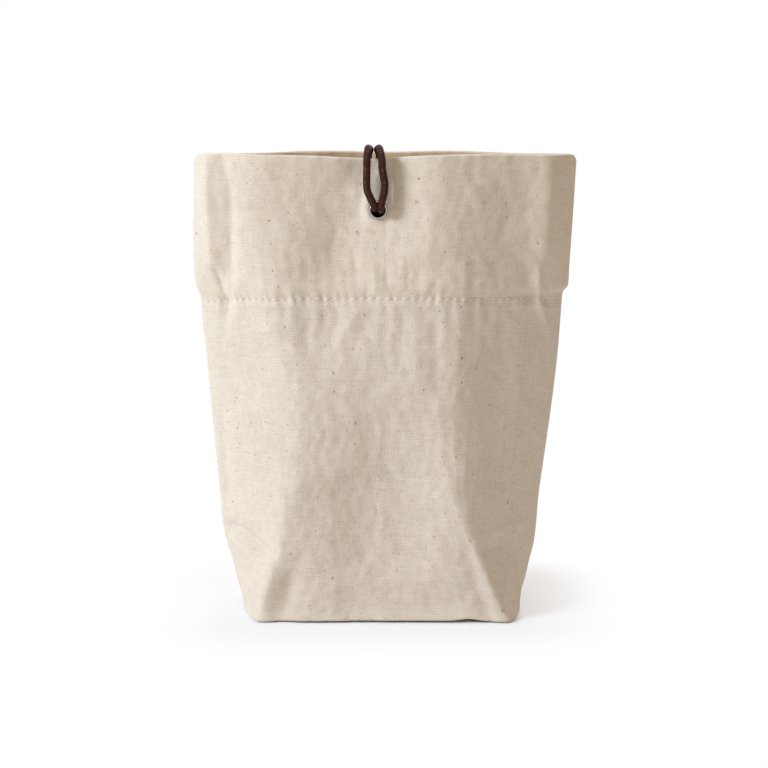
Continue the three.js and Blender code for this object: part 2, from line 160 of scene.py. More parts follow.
LEFT_EDGE = (
    (0, 61.4), (4, 63.8), (10, 65.8), (19, 67.8), (28, 70.4), (35, 71.9), (47, 72.9), (70, 74.8),
    (92, 76.6), (114, 78.4), (128, 79.7), (135, 80.1), (138.5, 80.4), (140.5, 81.4), (143, 82.3),
    (147, 82.9), (158, 83.1), (167, 83.1), (183, 82.6), (200, 82.3),
)
RIGHT_EDGE = (
    (0, 57.2), (4, 59.8), (10, 62.0), (19, 64.0), (28, 66.1), (35, 66.9), (47, 67.7), (70, 70.5),
    (92, 73.2), (114, 75.4), (128, 76.3), (136, 76.8), (139, 77.0), (140.7, 77.4), (142.8, 79.2),
    (145, 79.6), (150, 79.8), (167, 80.7), (183, 81.5), (200, 82.3),
)
FRONT_RIDGES = {
    "left": ((0, 55.4), (22, 50.1), (35, 46.0), (49, 43.6), (71, 41.0), (95, 40.2), (115, 41.5),
             (125, 43), (141, 45.5), (165, 48), (185, 51), (200, 52)),
    "right": ((0, 53.4), (21, 43.6), (35, 38.4), (50, 34.4), (71, 33.2), (95, 32.4), (120, 32.4),
              (141, 29.5), (165, 26.5), (200, 24)),
}
BACK_RIDGES = {
    "left": ((0, 54.6), (20, 47.8), (35, 44.2), (55, 40.6), (100, 35), (140, 37), (200, 40)),
    "right": ((0, 54.9), (20, 49.4), (35, 45.0), (55, 39.2), (100, 34), (140, 38), (200, 42)),
}

# The ridges fade between these heights, and are this flat at the rim

FLATTENING = (60, 175)
RIM_FLATNESS = 0.62

# Where a ridge lies in the quarter of the cloth from a side fold to the middle, as a share

RIDGE_SHARE = 0.4
HALF_DEPTH = (30.5, 18.5)
SIDE_BULGE = 2.0
FOLD_RADIUS = 1.2
CORNER_DROP = 2.9
HEM_LINE_Z = 140.6
HEM_DIP = 2.7
END_DIP = 1.5
SIDE_SEAM_TURN = 0.17

# How far the foot and the front rim lie above level: (place across, height) marks

FOOT_LIFT = (
    (-90, 0), (-58, 0), (-48, 0.4), (-24, 0.7), (0, 0.85), (19, 0.95), (30, 1.1), (37, 1.7), (44, 0.7),
    (50, 0.2), (58, 0), (90, 0),
)
FRONT_RIM_LIFT = (
    (-83, 0), (-77, 0.5), (-67, 1.5), (-50, 1.2), (-32, 0.5), (-18, 0), (2, 0.3), (20, 0.9), (33, 1.2),
    (46, 1.5), (58, 1.1), (70, 0.5), (83, 0),
)

# Waves of handled canvas: (length, share). Ripples of the sewn row: (length, phase, lean)

CRUMPLE_WAVES = (
    (46, 0.28), (33, 0.26), (24, 0.24), (17, 0.20), (12, 0.17), (9, 0.15), (7, 0.12), (5.4, 0.09),
)
ROW_RIPPLES = ((5.3, 0.4, 0.10), (7.9, 2.0, -0.07), (11.7, 4.4, 0.05))

# Weights by which neighbouring places of the outline are mixed, so that its ridges are round

ROUNDING = ((-2, 0.12), (-1, 0.23), (0, 0.3), (1, 0.23), (2, 0.12))

# The back's map lies beside the front's, a whole number of stitches away

BACK_MAP_STITCHES = 120

# Folds and dents: a name, where the line starts and ends (x, z), how wide it is, how soft its
# crest is and how far it stands out. A negative height is a valley

FRONT_FOLDS = (
    ("roll of the cuff's left edge", (-74.5, 150), (-75.5, 203), 4.4, 3.4, 1.8),
    ("swell under the rim's left end", (-73, 205), (-71, 176), 20, 14, 3.2),
    ("valley beside that roll", (-66, 146), (-64.4, 188), 3.8, 2.2, -1.8),
    ("valley widens above the hem", (-69, 163), (-69.4, 144), 4.4, 2.8, -1.1),
    ("valley's upper end", (-64.8, 190), (-69, 203), 3.2, 2.2, -1.1),
    ("roll sinks towards the hem", (-77, 150), (-75, 140), 3.4, 2.6, -0.9),
    ("valley runs on below the hem", (-68, 141), (-69.5, 124), 3.0, 2.0, -0.9),
    ("left pole of the cuff", (-55, 207), (-50, 146), 26, 15, 3.6),
    ("that pole runs on below the hem", (-48, 150), (-46, 120), 9, 7, 0.9),
    ("hollow left of the cord", (-9, 209), (-10, 184), 15, 10, -3.4),
    ("that hollow runs down to the left", (-15, 179), (-23, 142), 14, 9, -3.3),
    ("hollow runs on below the hem", (-23, 140), (-26, 112), 8, 6, -0.9),
    ("rise right of the cord", (20, 205), (19, 152), 14, 8, 3.5),
    ("right ridge of the cuff", (30, 205), (30, 136), 12, 8, 1.3),
    ("swell right of that ridge", (46, 206), (44, 142), 26, 16, 3.8),
    ("swell towards the cuff's right end", (70, 206), (68, 142), 28, 14, 4.6),
    ("right ridge below the hem", (30, 138), (32, 92), 8, 7, 0.7),
    ("swell left of that ridge", (17, 128), (14, 80), 20, 14, 1.6),
    ("valley right of that ridge", (50, 204), (49, 146), 9, 7, -0.5),
    ("right edge ridge", (68, 198), (65.8, 150), 6.5, 5, 2.0),
    ("pucker at the right end of the hem", (63.2, 152), (65.3, 134), 2.0, 1.2, 1.7),
    ("pucker runs down to the right", (65, 138), (73, 118), 2.2, 1.6, 1.0),
    ("hollow left of that pucker", (59, 152), (61, 138), 2.4, 1.4, -0.7),
    ("pinch at the left end of the hem", (-73.5, 152), (-69, 139.5), 1.8, 0.8, -1.7),
    ("pinch runs on below the hem", (-68.5, 139), (-67.5, 133), 1.8, 1.0, -0.8),
    ("edge of the hem stands out on the left", (-65, 136.8), (-42, 137.4), 0.9, 0.5, 0.35),
    ("lip right of that pinch", (-64.5, 146), (-63, 134), 2.2, 1.6, 0.7),
    ("fan ridge, far left", (-20, 156), (-18, 143), 2.2, 1.6, 0.3),
    ("fan valley, left", (-13, 158), (-12.5, 144), 2.0, 1.5, -0.3),
    ("fan ridge, left", (-5, 155), (-4, 143), 1.9, 1.3, 0.4),
    ("fan valley, middle", (0.5, 153), (1.5, 143), 1.6, 1.1, -0.3),
    ("fan ridge, right", (8, 159), (7, 146), 2.0, 1.5, 0.4),
    ("fan valley, right", (14, 154), (13, 143), 2.2, 1.6, -0.3),
    ("streak below the row, left", (-11, 137), (-23, 116), 2.4, 1.7, 0.5),
    ("valley right of that streak", (-5, 136), (-15, 114), 2.6, 1.9, -0.45),
    ("streak below the row, middle", (3.5, 137), (2, 118), 2.2, 1.6, 0.3),
    ("valley right of the middle streak", (7.5, 136), (7, 114), 2.2, 1.7, -0.25),
    ("streak below the row, right", (12, 137), (14, 106), 3.0, 2.4, 0.45),
    ("dent below the row, right", (21, 135), (21, 106), 4.0, 3.4, -0.6),
    ("dent below the row, left", (-34, 138), (-33, 117), 3.6, 3.0, -0.6),
    ("left corner's hollow", (-47, -4), (-39.5, 24), 5.5, 4.5, -1.8),
    ("hollow left of the middle", (-12, 22), (-10, 66), 14, 10, -1.3),
    ("crease over the left facet", (-74, 37.5), (-63, 36), 3.0, 1.4, -2.4),
    ("that crease runs on", (-64, 36.3), (-49, 28), 3.4, 1.7, -2.6),
    ("left facet's upper edge", (-69, 31.5), (-56, 26.5), 3.2, 2.0, 1.4),
    ("left silhouette strip", (-71.5, 88), (-70, 46), 2.6, 2.0, -0.8),
    ("broad hollow in the middle", (3, 92), (7, 18), 28, 16, -5.0),
    ("right corner's near flank", (34, 34), (47, -2), 4.5, 4.0, -1.4),
    ("right facet's upper fold", (42, 36), (64, 40), 2.8, 1.6, 0.8),
    ("crease under that fold", (44, 31), (58, 30), 3.2, 2.0, -0.7),
    ("streak in the right facet", (51, 29), (59, 38), 1.8, 1.2, 0.5),
    ("soft fold in the right facet", (52, 30), (51.5, 8), 1.8, 1.3, 0.5),
    ("right gusset's long crease", (45, 122), (48, 56), 6, 5, -0.9),
    ("ridge beside that crease", (58, 126), (58, 60), 5, 4, 0.6),
    ("dent in the middle", (14, 96), (22, 76), 7, 6, -0.6),
    ("dent left of the middle", (-20, 64), (-14, 46), 8, 7, -0.6),
    ("swell low in the middle", (2, 22), (22, 14), 9, 8, 0.6),
    ("flare of the foot", (-70, 0), (70, 0), 4.6, 2.8, 2.6),
    ("flare of the foot, right", (0, 1), (58, 0), 2.8, 1.8, 0.8),
)
CORD_FOLDS = (
    ("rim tucks in under the cord", (-5, 200), (-5, 192), 5, 4.0, -1.0),
    ("eyelet pulls the cloth in", (-3.1, 180), (-3.1, 176), 5, 4.5, -0.35),
)
BACK_FOLDS = (
    ("left pole of the cuff", (-38, 200), (-44, 128), 10, 9, 1.1),
    ("left pole below the hem", (-44, 128), (-41, 74), 8, 7, 0.9),
    ("hollow in the middle", (2, 198), (-6, 116), 12, 11, -0.9),
    ("right pole of the cuff", (36, 200), (42, 126), 9, 8, 1.0),
    ("right pole below the hem", (42, 126), (40, 70), 8, 7, 0.8),
    ("valley beside the left fold", (-68, 199), (-68, 144), 4, 3, -0.8),
    ("valley beside the right fold", (67, 199), (66, 144), 4, 3, -0.8),
    ("pucker at the left end of the hem", (-64, 151), (-65, 136), 1.8, 1.4, 0.5),
    ("fan ridge, left", (-22, 152), (-20, 143), 2, 1.6, 0.3),
    ("fan ridge, middle", (3, 154), (2, 144), 2, 1.6, 0.3),
    ("fan ridge, right", (25, 151), (27, 143), 2, 1.6, -0.25),
    ("streak below the row, left", (-16, 134), (-24, 116), 2.6, 2.2, 0.34),
    ("streak below the row, middle", (5, 134), (6, 112), 2.6, 2.2, -0.32),
    ("streak below the row, right", (24, 134), (32, 118), 2.6, 2.2, 0.34),
    ("left corner's hollow", (-43, 3), (-38, 34), 5, 4.5, -1.2),
    ("right corner's hollow", (43, 3), (37, 38), 5, 4.5, -1.1),
    ("left knee fold", (-68, 40), (-46, 32), 2.6, 1.8, 0.6),
    ("right knee fold", (66, 41), (44, 30), 2.6, 1.8, 0.6),
    ("diagonal crease", (-30, 96), (-6, 62), 4, 3.4, -0.5),
    ("diagonal crease, right", (30, 88), (12, 58), 4, 3.4, 0.4),
    ("dent low in the middle", (-8, 40), (14, 30), 9, 8, -0.5),
    ("flare of the foot", (-44, 1.5), (44, 1.5), 4, 3, 0.8),
)


def crumple(x, z, seed):
    """Small uneven waves, between about -1 and 1, of canvas that has been handled."""
    chance = np.random.RandomState(seed)
    total = np.zeros(np.broadcast(x, z).shape)
    for length, share in CRUMPLE_WAVES:
        for _ in range(3):
            angle, phase = chance.uniform(0, math.tau, 2)
            turn = math.tau / length
            drift = np.sin(turn * 0.31 * (x * math.sin(angle) - z * math.cos(angle)) + 3 * phase)
            total = total + share * 0.5 * np.sin(
                turn * (x * math.cos(angle) + z * math.sin(angle)) + phase + 1.4 * drift)
    return total


class Wall:
    """One half of the cloth tube. Turn 0 is the right side fold, 1 its middle and 2 the left
    side fold. Distances out of it are measured from the plane of the two folds. Its side seam
    runs down at seam_turn, and the seed sets how its waves fall."""

    def __init__(self, facing, ridges, folds, seed, seam_turn):
        self.facing = facing
        self.ridges = ridges
        self.folds = folds
        self.seed = seed
        self.seam_turn = seam_turn
        self.sizes = sizes_mm()

    def bare(self, turn, z):
        """The outline without folds, and with sharp ridges over the corners."""
        left = turn > 1
        share = np.where(left, 2 - turn, turn)
        back = np.sign(share) + (share == 0)
        share = np.abs(share)
        width = np.where(left, through(LEFT_EDGE, z), through(RIGHT_EDGE, z))
        ridge = np.where(left, through(self.ridges["left"], z), through(self.ridges["right"], z))
        depth = mix(*HALF_DEPTH, z / RIM_Z)
        folded = 1 - RIM_FLATNESS * smooth(*FLATTENING, z)
        along = np.minimum(share / RIDGE_SHARE, 1)
        flat = np.clip((share - RIDGE_SHARE) / (1 - RIDGE_SHARE), 0, 1)
        low_x = np.where(share < RIDGE_SHARE, mix(width, ridge, along), mix(ridge, 0, flat))
        low_x = low_x + SIDE_BULGE * np.sin(math.pi * along) * (share < RIDGE_SHARE)
        fullness = mix(3.2, 2.0, z / RIM_Z)
        high_out = depth * (1 - (1 - np.minimum(share, 1)) ** fullness)
        x = mix(width * (1 - share), low_x, folded)
        out = mix(high_out, depth * along, folded)
        gap = np.maximum(width - x, 0)
        out = np.sqrt(out ** 2 + 2 * FOLD_RADIUS * gap * np.exp(-gap / 8))
        return np.where(left, -x, x), out * back

    def outline(self, turn, z):
        """The outline with its ridges rounded, as thick canvas folds."""
        share = np.minimum(np.abs(turn), np.abs(2 - turn))
        widest = np.where(turn < 1, 0.095, 0.06)
        reach = mix(0.013, widest, smooth(26, 96, z)) + 0.015 * smooth(128, 165, z)
        reach = reach * smooth(0.06, 0.24, share)
        x, out = 0, 0
        for step, weight in ROUNDING:
            near_x, near_out = self.bare(turn + step * reach, z)
            x = x + weight * near_x
            out = out + weight * near_out
        return x, out

    def gathers(self, x, z):
        """Upright ripples that the sewn row draws into the cloth above and below it."""
        ripple = 0
        for length, phase, lean in ROW_RIPPLES:
            leaning = x + lean * (z - HEM_LINE_Z)
            ripple = ripple + np.sin(math.tau * leaning / length + phase + self.seed)
        uneven = 0.55 + 0.45 * np.sin(x / 13.0 + self.seed)
        reach = mix(5.5, 12, uneven) * np.where(z < HEM_LINE_Z, 1.2, 0.8)
        return 0.11 * uneven * ripple * np.exp(-np.abs(z - HEM_LINE_Z) / reach)

    def fold(self, x, z, start, end, wide, soft, height):
        """How far one fold or dent stands out. It tapers towards both of its ends."""
        (x0, z0), (x1, z1) = start, end
        run, rise = x1 - x0, z1 - z0
        along = np.clip(((x - x0) * run + (z - z0) * rise) / (run ** 2 + rise ** 2), 0, 1)
        off = np.hypot(x - x0 - along * run, z - z0 - along * rise)
        taper = 1 - 0.6 * np.abs(2 * along - 1) ** 3
        return taper * height * np.exp(-(np.sqrt(off ** 2 + soft ** 2) - soft) / (0.45 * wide))

    def relief(self, x, z):
        total = 0.5 * crumple(x, z, self.seed) + self.gathers(x, z)
        for _, *shape in self.folds:
            total = total + self.fold(x, z, *shape)
        if self.facing < 0:
            aside = np.hypot(x - EYELET_X, np.minimum(z - EYELET_Z, 0))
            close = smooth(EYELET_Z + 8, EYELET_Z + 2, z)
            total = total * smooth(mix(3.4, 4.6, close), mix(6.4, 8.0, close), aside)
            for _, *shape in CORD_FOLDS:
                total = total + self.fold(x, z, *shape)

        # The row is sunk, the hem above it is padded and its edge shows below it
        row = z - HEM_LINE_Z + self.dip(x, HEM_LINE_Z)
        total = total - 0.2 * np.exp(-(row / 1.3) ** 2)
        total = total + 0.45 * np.exp(-((row - 5) / 3.2) ** 2)
        total = total + 0.20 * np.exp(-((row + 3.2) / 0.9) ** 2)
        return total * self.sizes["crumple"]

    def dip(self, x, z):
        """The sewn row and the edge of the hem lie lower towards the side folds."""
        share = np.clip(np.abs(x) / 79, 0, 1)
        fade = np.where(z > HEM_LINE_Z, (RIM_Z - z) / (RIM_Z - HEM_LINE_Z), smooth(10, HEM_LINE_Z, z))
        return (HEM_DIP * share ** 2.3 + END_DIP * smooth(65.5, 70.5, np.abs(x))) * np.clip(fade, 0, 1)

    def at(self, turn, level, depth):
        """Points of the cloth, a depth inside its outer face, in millimetres."""
        turn, level, depth = np.broadcast_arrays(
            np.asarray(turn, float), np.asarray(level, float), np.asarray(depth, float))
        x, _ = self.bare(turn, level)
        edge = np.where(x > 0, through(RIGHT_EDGE, level), through(LEFT_EDGE, level))
        inset = np.clip(1 - (edge - np.abs(x)) / CORNER_DROP, 0, 1)
        drop = CORNER_DROP * (1 - np.sqrt(1 - inset ** 2 * 0.999))
        wave = 0.25 * np.sin(x / 9.0 + self.seed) * smooth(0, 12, edge - np.abs(x))
        sag = 0.4 * np.exp(-((x + 5) / 9) ** 2) * (self.facing < 0)
        lift = through(FRONT_RIM_LIFT, x) * (self.facing < 0)
        z = level - self.dip(x, level) + smooth(168, RIM_Z, level) * (wave + lift - sag - drop)
        z = z + through(FOOT_LIFT, x * -self.facing) * smooth(9, 1, level)
        x, out = self.outline(turn, z)
        step = 0.004
        before, after = self.outline(turn - step, z), self.outline(turn + step, z)
        run, rise = after[0] - before[0], after[1] - before[1]
        length = np.hypot(run, rise)
        normal_x, normal_out = rise / length, -run / length
        shift = self.relief(x, z) * smooth(0, 6, out) * smooth(-3, 1.5, z) - depth
        x = x + normal_x * shift
        out = np.maximum(out + normal_out * shift, 0)
        return np.stack([x, self.facing * out, z], -1)


def front_wall():
    return Wall(-1, FRONT_RIDGES, FRONT_FOLDS, 5, SIDE_SEAM_TURN)


def back_wall():
    return Wall(1, BACK_RIDGES, BACK_FOLDS, 11, 2 - SIDE_SEAM_TURN)


# Meshes. Both halves have this many columns, and their maps are measured round at this height

CLOTH_COLUMNS = 236
MAP_LEVEL = 110
WELD = 1e-5


def finished(bm, name, finish, angle=None):
    """The bmesh as an object of the scene, in metres, with its faces smooth and outwards. Edges
    above the angle stay sharp. A finish is a slot, which is not used, a material's name and what gives
    its shader."""
    slot, *material = finish
    bmesh.ops.recalc_face_normals(bm, faces=bm.faces)
    bmesh.ops.transform(bm, matrix=Matrix.Scale(MM, 4), verts=bm.verts)
    mesh = bpy.data.meshes.new(name)
    bm.to_mesh(mesh)
    bm.free()
    mesh.materials.append(material_of(*material))
    mesh.shade_smooth()
    if angle is not None:
        mesh.set_sharp_from_angle(angle=math.radians(angle))
    made = bpy.data.objects.new(name, mesh)
    bpy.context.scene.collection.objects.link(made)
    return made


def lofted(columns, rows, place, bm=None):
    """A grid whose points go where place says for each column and row, with a UV map. place
    gives the points and the map's two values. A mesh that is given gets the grid as well."""
    bm = bm or bmesh.new()
    layer = bm.loops.layers.uv.active or bm.loops.layers.uv.new("UVMap")
    made = bmesh.ops.create_grid(bm, x_segments=columns - 1, y_segments=rows - 1, size=1)["verts"]
    flat = np.array([v.co[:2] for v in made])
    low, high = flat.min(0), flat.max(0)
    steps = np.rint((flat - low) / (high - low) * (columns - 1, rows - 1)).astype(int)
    points, maps = place(steps[:, 0], steps[:, 1])
    spots = dict(zip(made, maps))
    for vert, point in zip(made, points.tolist()):
        vert.co = point
    for face in {f for v in made for f in v.link_faces}:
        for loop in face.loops:
            loop[layer].uv = spots[loop.vert]
    return bm


def run_along(points):
    """How far along a path each of its points lies."""
    steps = np.linalg.norm(np.diff(np.array(points), axis=0), axis=1)
    return np.concatenate([[0], np.cumsum(steps)])


def arc(start, end, count):
    """The cosine and the sine at even steps from one angle to another, in degrees."""
    return [(math.cos(a), math.sin(a)) for a in np.radians(np.linspace(start, end, count))]


def spaced(*stops):
    """Numbers from stop to stop. Each stop is a value and how many steps follow it."""
    values = []
    for (start, count), (end, _) in zip(stops, stops[1:]):
        values += [mix(start, end, i / count) for i in range(count)]
    return values + [stops[-1][0]]


def section(sizes):
    """The cloth from under the foot, up the outside, over the rim, down the hem and down the
    inside again: (depth, level) marks. The last one is the first again."""
    cloth, rim = sizes["cloth"], sizes["rim"]
    half, foot = rim / 2, 1.6
    marks = [(3.0, 0.0), (2.1, 0.0)]
    marks += [(foot * (1 - c), foot * (1 - s)) for c, s in arc(90, 0, 7)[:-1]]
    outside = ((foot, 16), (14, 50), (62, 58), (124, 14), (133, 34), (149, 44), (195, 5), (RIM_Z - half, 0))
    marks += [(0.0, z) for z in spaced(*outside)]
    marks += [(half - half * c, RIM_Z - half + half * s) for c, s in arc(0, 180, 11)[1:-1]]
    marks += [(rim, z) for z in spaced((RIM_Z - half, 28), (143, 8), (HEM_FOOT_Z + 0.9, 0))]
    marks += [(mix(cloth + 0.1, rim, 0.5 + 0.5 * c), HEM_FOOT_Z + 0.9 - 0.7 * s)
              for c, s in arc(0, 180, 7)[1:-1]]
    marks += [(cloth, z) for z in spaced((HEM_FOOT_Z + 0.6, 34), (36, 18), (2.2, 0))]
    marks += [(1.3, 1.3), (2.4, 1.0), (4.2, 0.95), (4.2, 0.1), (3.0, 0.0)]
    return marks


def cloth_turns():
    """Turns round one half, closer together where the cloth folds at its sides."""
    t = np.linspace(0, 1, CLOTH_COLUMNS // 2 + 1)
    half = t ** 2 / (t + 0.03) * 1.03
    return np.concatenate([half, 2 - half[-2::-1]])


def girth(wall, turns):
    """How far round the cloth each turn lies, in millimetres from the middle."""
    around = run_along(wall.at(turns, MAP_LEVEL, 0)[:, :2])
    return around - np.interp(1, turns, around)


def rim_place(sizes):
    """How far up the cloth's own map the rim lies, and at which mark of the section."""
    marks = section(sizes)
    top = int(np.argmax([z for _, z in marks]))
    return float(run_along(marks)[top]), top


def row_maps(sizes):
    """Where the sewn row lies in the cloth's own map, outside and inside."""
    marks = section(sizes)
    along = run_along(marks)
    _, top = rim_place(sizes)
    outside = [(z, v) for (depth, z), v in zip(marks[:top], along) if depth == 0 and z > 0]
    inside = sorted((z, v) for (_, z), v in zip(marks[top:], along[top:]) if z > HEM_FOOT_Z)
    return [float(np.interp(HEM_LINE_Z, *zip(*side))) for side in (outside, inside)]


def make_cloth(name, wall):
    """One half of the cloth with its hem, and in front the hole for the eyelet."""
    sizes = sizes_mm()
    turns = cloth_turns()
    across = girth(wall, turns)
    marks = np.array(section(sizes))
    along = run_along(marks)

    def place(column, row):
        points = wall.at(turns[column], marks[row, 1], marks[row, 0])
        map_x = across[column] + (wall.facing > 0) * BACK_MAP_STITCHES * sizes["stitch"]
        return points, list(zip(map_x.tolist(), along[row].tolist()))

    bm = lofted(len(turns), len(marks), place)
    bmesh.ops.remove_doubles(bm, verts=bm.verts, dist=WELD)
    if wall.facing < 0:
        cut_eyelet_hole(bm)
    bmesh.ops.holes_fill(bm, edges=[e for e in bm.edges if e.is_boundary], sides=0)
    made = finished(bm, name, SEWN_CANVAS)
    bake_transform(made)
    return made


def from_eyelet(vert):
    return math.hypot(vert.co.x - EYELET_X, vert.co.z - EYELET_Z)


def cut_eyelet_hole(bm, radius=3.3):
    """Both layers are cut out inside the eyelet's flange and joined through the hole."""
    front = [f for f in bm.faces if f.verts[0].co.y < -8]
    near = [f for f in front if any(from_eyelet(v) < radius - 0.2 for v in f.verts)]
    bmesh.ops.delete(bm, geom=near, context="FACES")
    rims = [e for e in bm.edges if e.is_boundary and e.verts[0].co.y < -8]
    edges = [e for e in rims if from_eyelet(e.verts[0]) < 3 * radius]
    for vert in {v for e in edges for v in e.verts}:
        scale = radius / from_eyelet(vert)
        vert.co.x = EYELET_X + (vert.co.x - EYELET_X) * scale
        vert.co.z = EYELET_Z + (vert.co.z - EYELET_Z) * scale
    bmesh.ops.bridge_loops(bm, edges=edges)


def tube(path, radius, sides=24):
    """A round tube along a path, closed at both ends. The map goes round it and along it."""
    path = np.array(path, float)
    along = run_along(path)
    tangents = np.gradient(path, axis=0)
    tangents /= np.linalg.norm(tangents, axis=1)[:, None]
    side = np.zeros_like(path)
    side[0] = np.cross(tangents[0], (0.1, 0.2, 1) if abs(tangents[0][2]) < 0.8 else (1, 0.1, 0))
    side[0] /= np.linalg.norm(side[0])
    for i in range(1, len(path)):
        side[i] = side[i - 1] - tangents[i] * np.dot(side[i - 1], tangents[i])
        side[i] /= np.linalg.norm(side[i])
    other = np.cross(tangents, side)
    radii = np.full(len(path), float(radius)) if np.isscalar(radius) else np.array(radius)

    def place(column, row):
        angle = math.tau * column / sides
        points = path[row] + radii[row, None] * (
            side[row] * np.cos(angle)[:, None] + other[row] * np.sin(angle)[:, None])
        return points, list(zip((column / sides).tolist(), along[row].tolist()))

    bm = lofted(sides + 1, len(path), place)
    bmesh.ops.remove_doubles(bm, verts=bm.verts, dist=WELD)
    for edges in ring_loops(bm):
        cap = bmesh.ops.contextual_create(bm, geom=edges)["faces"]
        bmesh.ops.poke(bm, faces=cap, offset=0.35)
    return bm


def ring_loops(bm):
    """The open rims of a mesh, each as a list of edges."""
    left = dict.fromkeys(e for e in bm.edges if e.is_boundary)
    rings = []
    while left:
        ring = [left.popitem()[0]]
        for edge in ring:
            for vert in edge.verts:
                for near in vert.link_edges:
                    if near in left:
                        del left[near]
                        ring.append(near)
        rings.append(ring)
    return rings


def curve_through(points, step=0.25):
    """Points a step apart on the smooth curve through the given ones."""
    points = [Vector(p) for p in points]
    ends = [points[0] * 2 - points[1], *points, points[-1] * 2 - points[-2]]
    fine = []
    for a, b, c, d in zip(ends, ends[1:], ends[2:], ends[3:]):
        for i in range(24):
            t = i / 24
            fine.append(0.5 * ((2 * b) + (c - a) * t + (2 * a - 5 * b + 4 * c - d) * t ** 2
                               + (3 * b - a - 3 * c + d) * t ** 3))
    fine.append(points[-1])
    fine = np.array(fine)
    along = run_along(fine)
    even = np.linspace(0, along[-1], max(2, int(round(along[-1] / step)) + 1))
    return np.stack([np.interp(even, along, fine[:, k]) for k in range(3)], -1)


# Finishes. Tones beside those that a user can change, each named for where it shows

HUSK_STAIN = "CDB38C"
# Painted shade in the needle holes
NEEDLE_HOLE_SHADE = "A07C55"
DOUBLED_CLOTH = "D9C39C"
# Painted highlight along the folded rim
RIM_HIGHLIGHT = "F8F2E8"
REVERSE_SIDE = "DDBC8B"
# Painted shade in the grooves of the thread's twist
THREAD_GROOVE_SHADE = "E4D9C6"
WORN_NICKEL = "A2A29F"
# Painted highlight on patches of the cord
CORD_HIGHLIGHT_PATCH = "5A2A17"
# Painted glint and painted shade on the ribs of the cord
YARN_GLINT = "B4795A"
YARN_HOLE_SHADE = "060201"

# Flecks of husk: size of their cells in mm, reach in a cell, share left out and strength

FLECKS = ((9.5, 0.075, 0.55, 0.9), (4.6, 0.11, 0.4, 0.6), (2.1, 0.19, 0.3, 0.42))
SEAM_STITCH = 2.9
BRAID_STEP = 1.3
BRAID_YARNS = 8
BRAID_RIBS = 4.0
RIB_STEP = 0.9
THREAD_TWIST = 0.35

# Half the base, in metres, from whose edge the pouch's shadow on the floor fades

FOOTPRINT = (0.056, 0.0305, 0)

# Options of nodes that come up again: a soft step, and a mix of colours

SOFT = {"interpolation_type": "SMOOTHSTEP"}
COLOUR = {"data_type": "RGBA", "out": 2}


def add_node(tree, kind, *inputs, out=0, **named):
    """Adds one node and gives one of its outputs. The kind may end with the node's operation.
    Inputs stand in the node's own order or go by name, with a capital, and each is a socket, a
    value or an sRGB hex colour. Names without a capital are settings of the node."""
    kind, _, operation = kind.partition(" ")
    made = tree.nodes.new("ShaderNode" + kind)
    if operation:
        made.operation = operation
    places = dict(enumerate(inputs))
    for name, value in named.items():
        if name[0].islower():
            setattr(made, name, value)
            continue
        names = [(socket.identifier, socket.name.replace(" ", "_")) for socket in made.inputs]
        places[next(i for i, both in enumerate(names) if name in both)] = value
    for place, value in places.items():
        if isinstance(value, bpy.types.NodeSocket):
            tree.links.new(value, made.inputs[place])
        else:
            made.inputs[place].default_value = linear(value) if isinstance(value, str) else value
    return made.outputs[out] if made.outputs else None


def material_of(label, shade, *details):
    """The material of that name. It is made once, and shade gives the shader of its surface."""
    material = bpy.data.materials.get(label)
    if not material:
        material = bpy.data.materials.new(label)
        material.use_nodes = True
        material.node_tree.nodes.clear()
        node = functools.partial(add_node, material.node_tree)
        node("OutputMaterial", shade(node, bpy.context.scene.pouch_colours, *details))
    return material


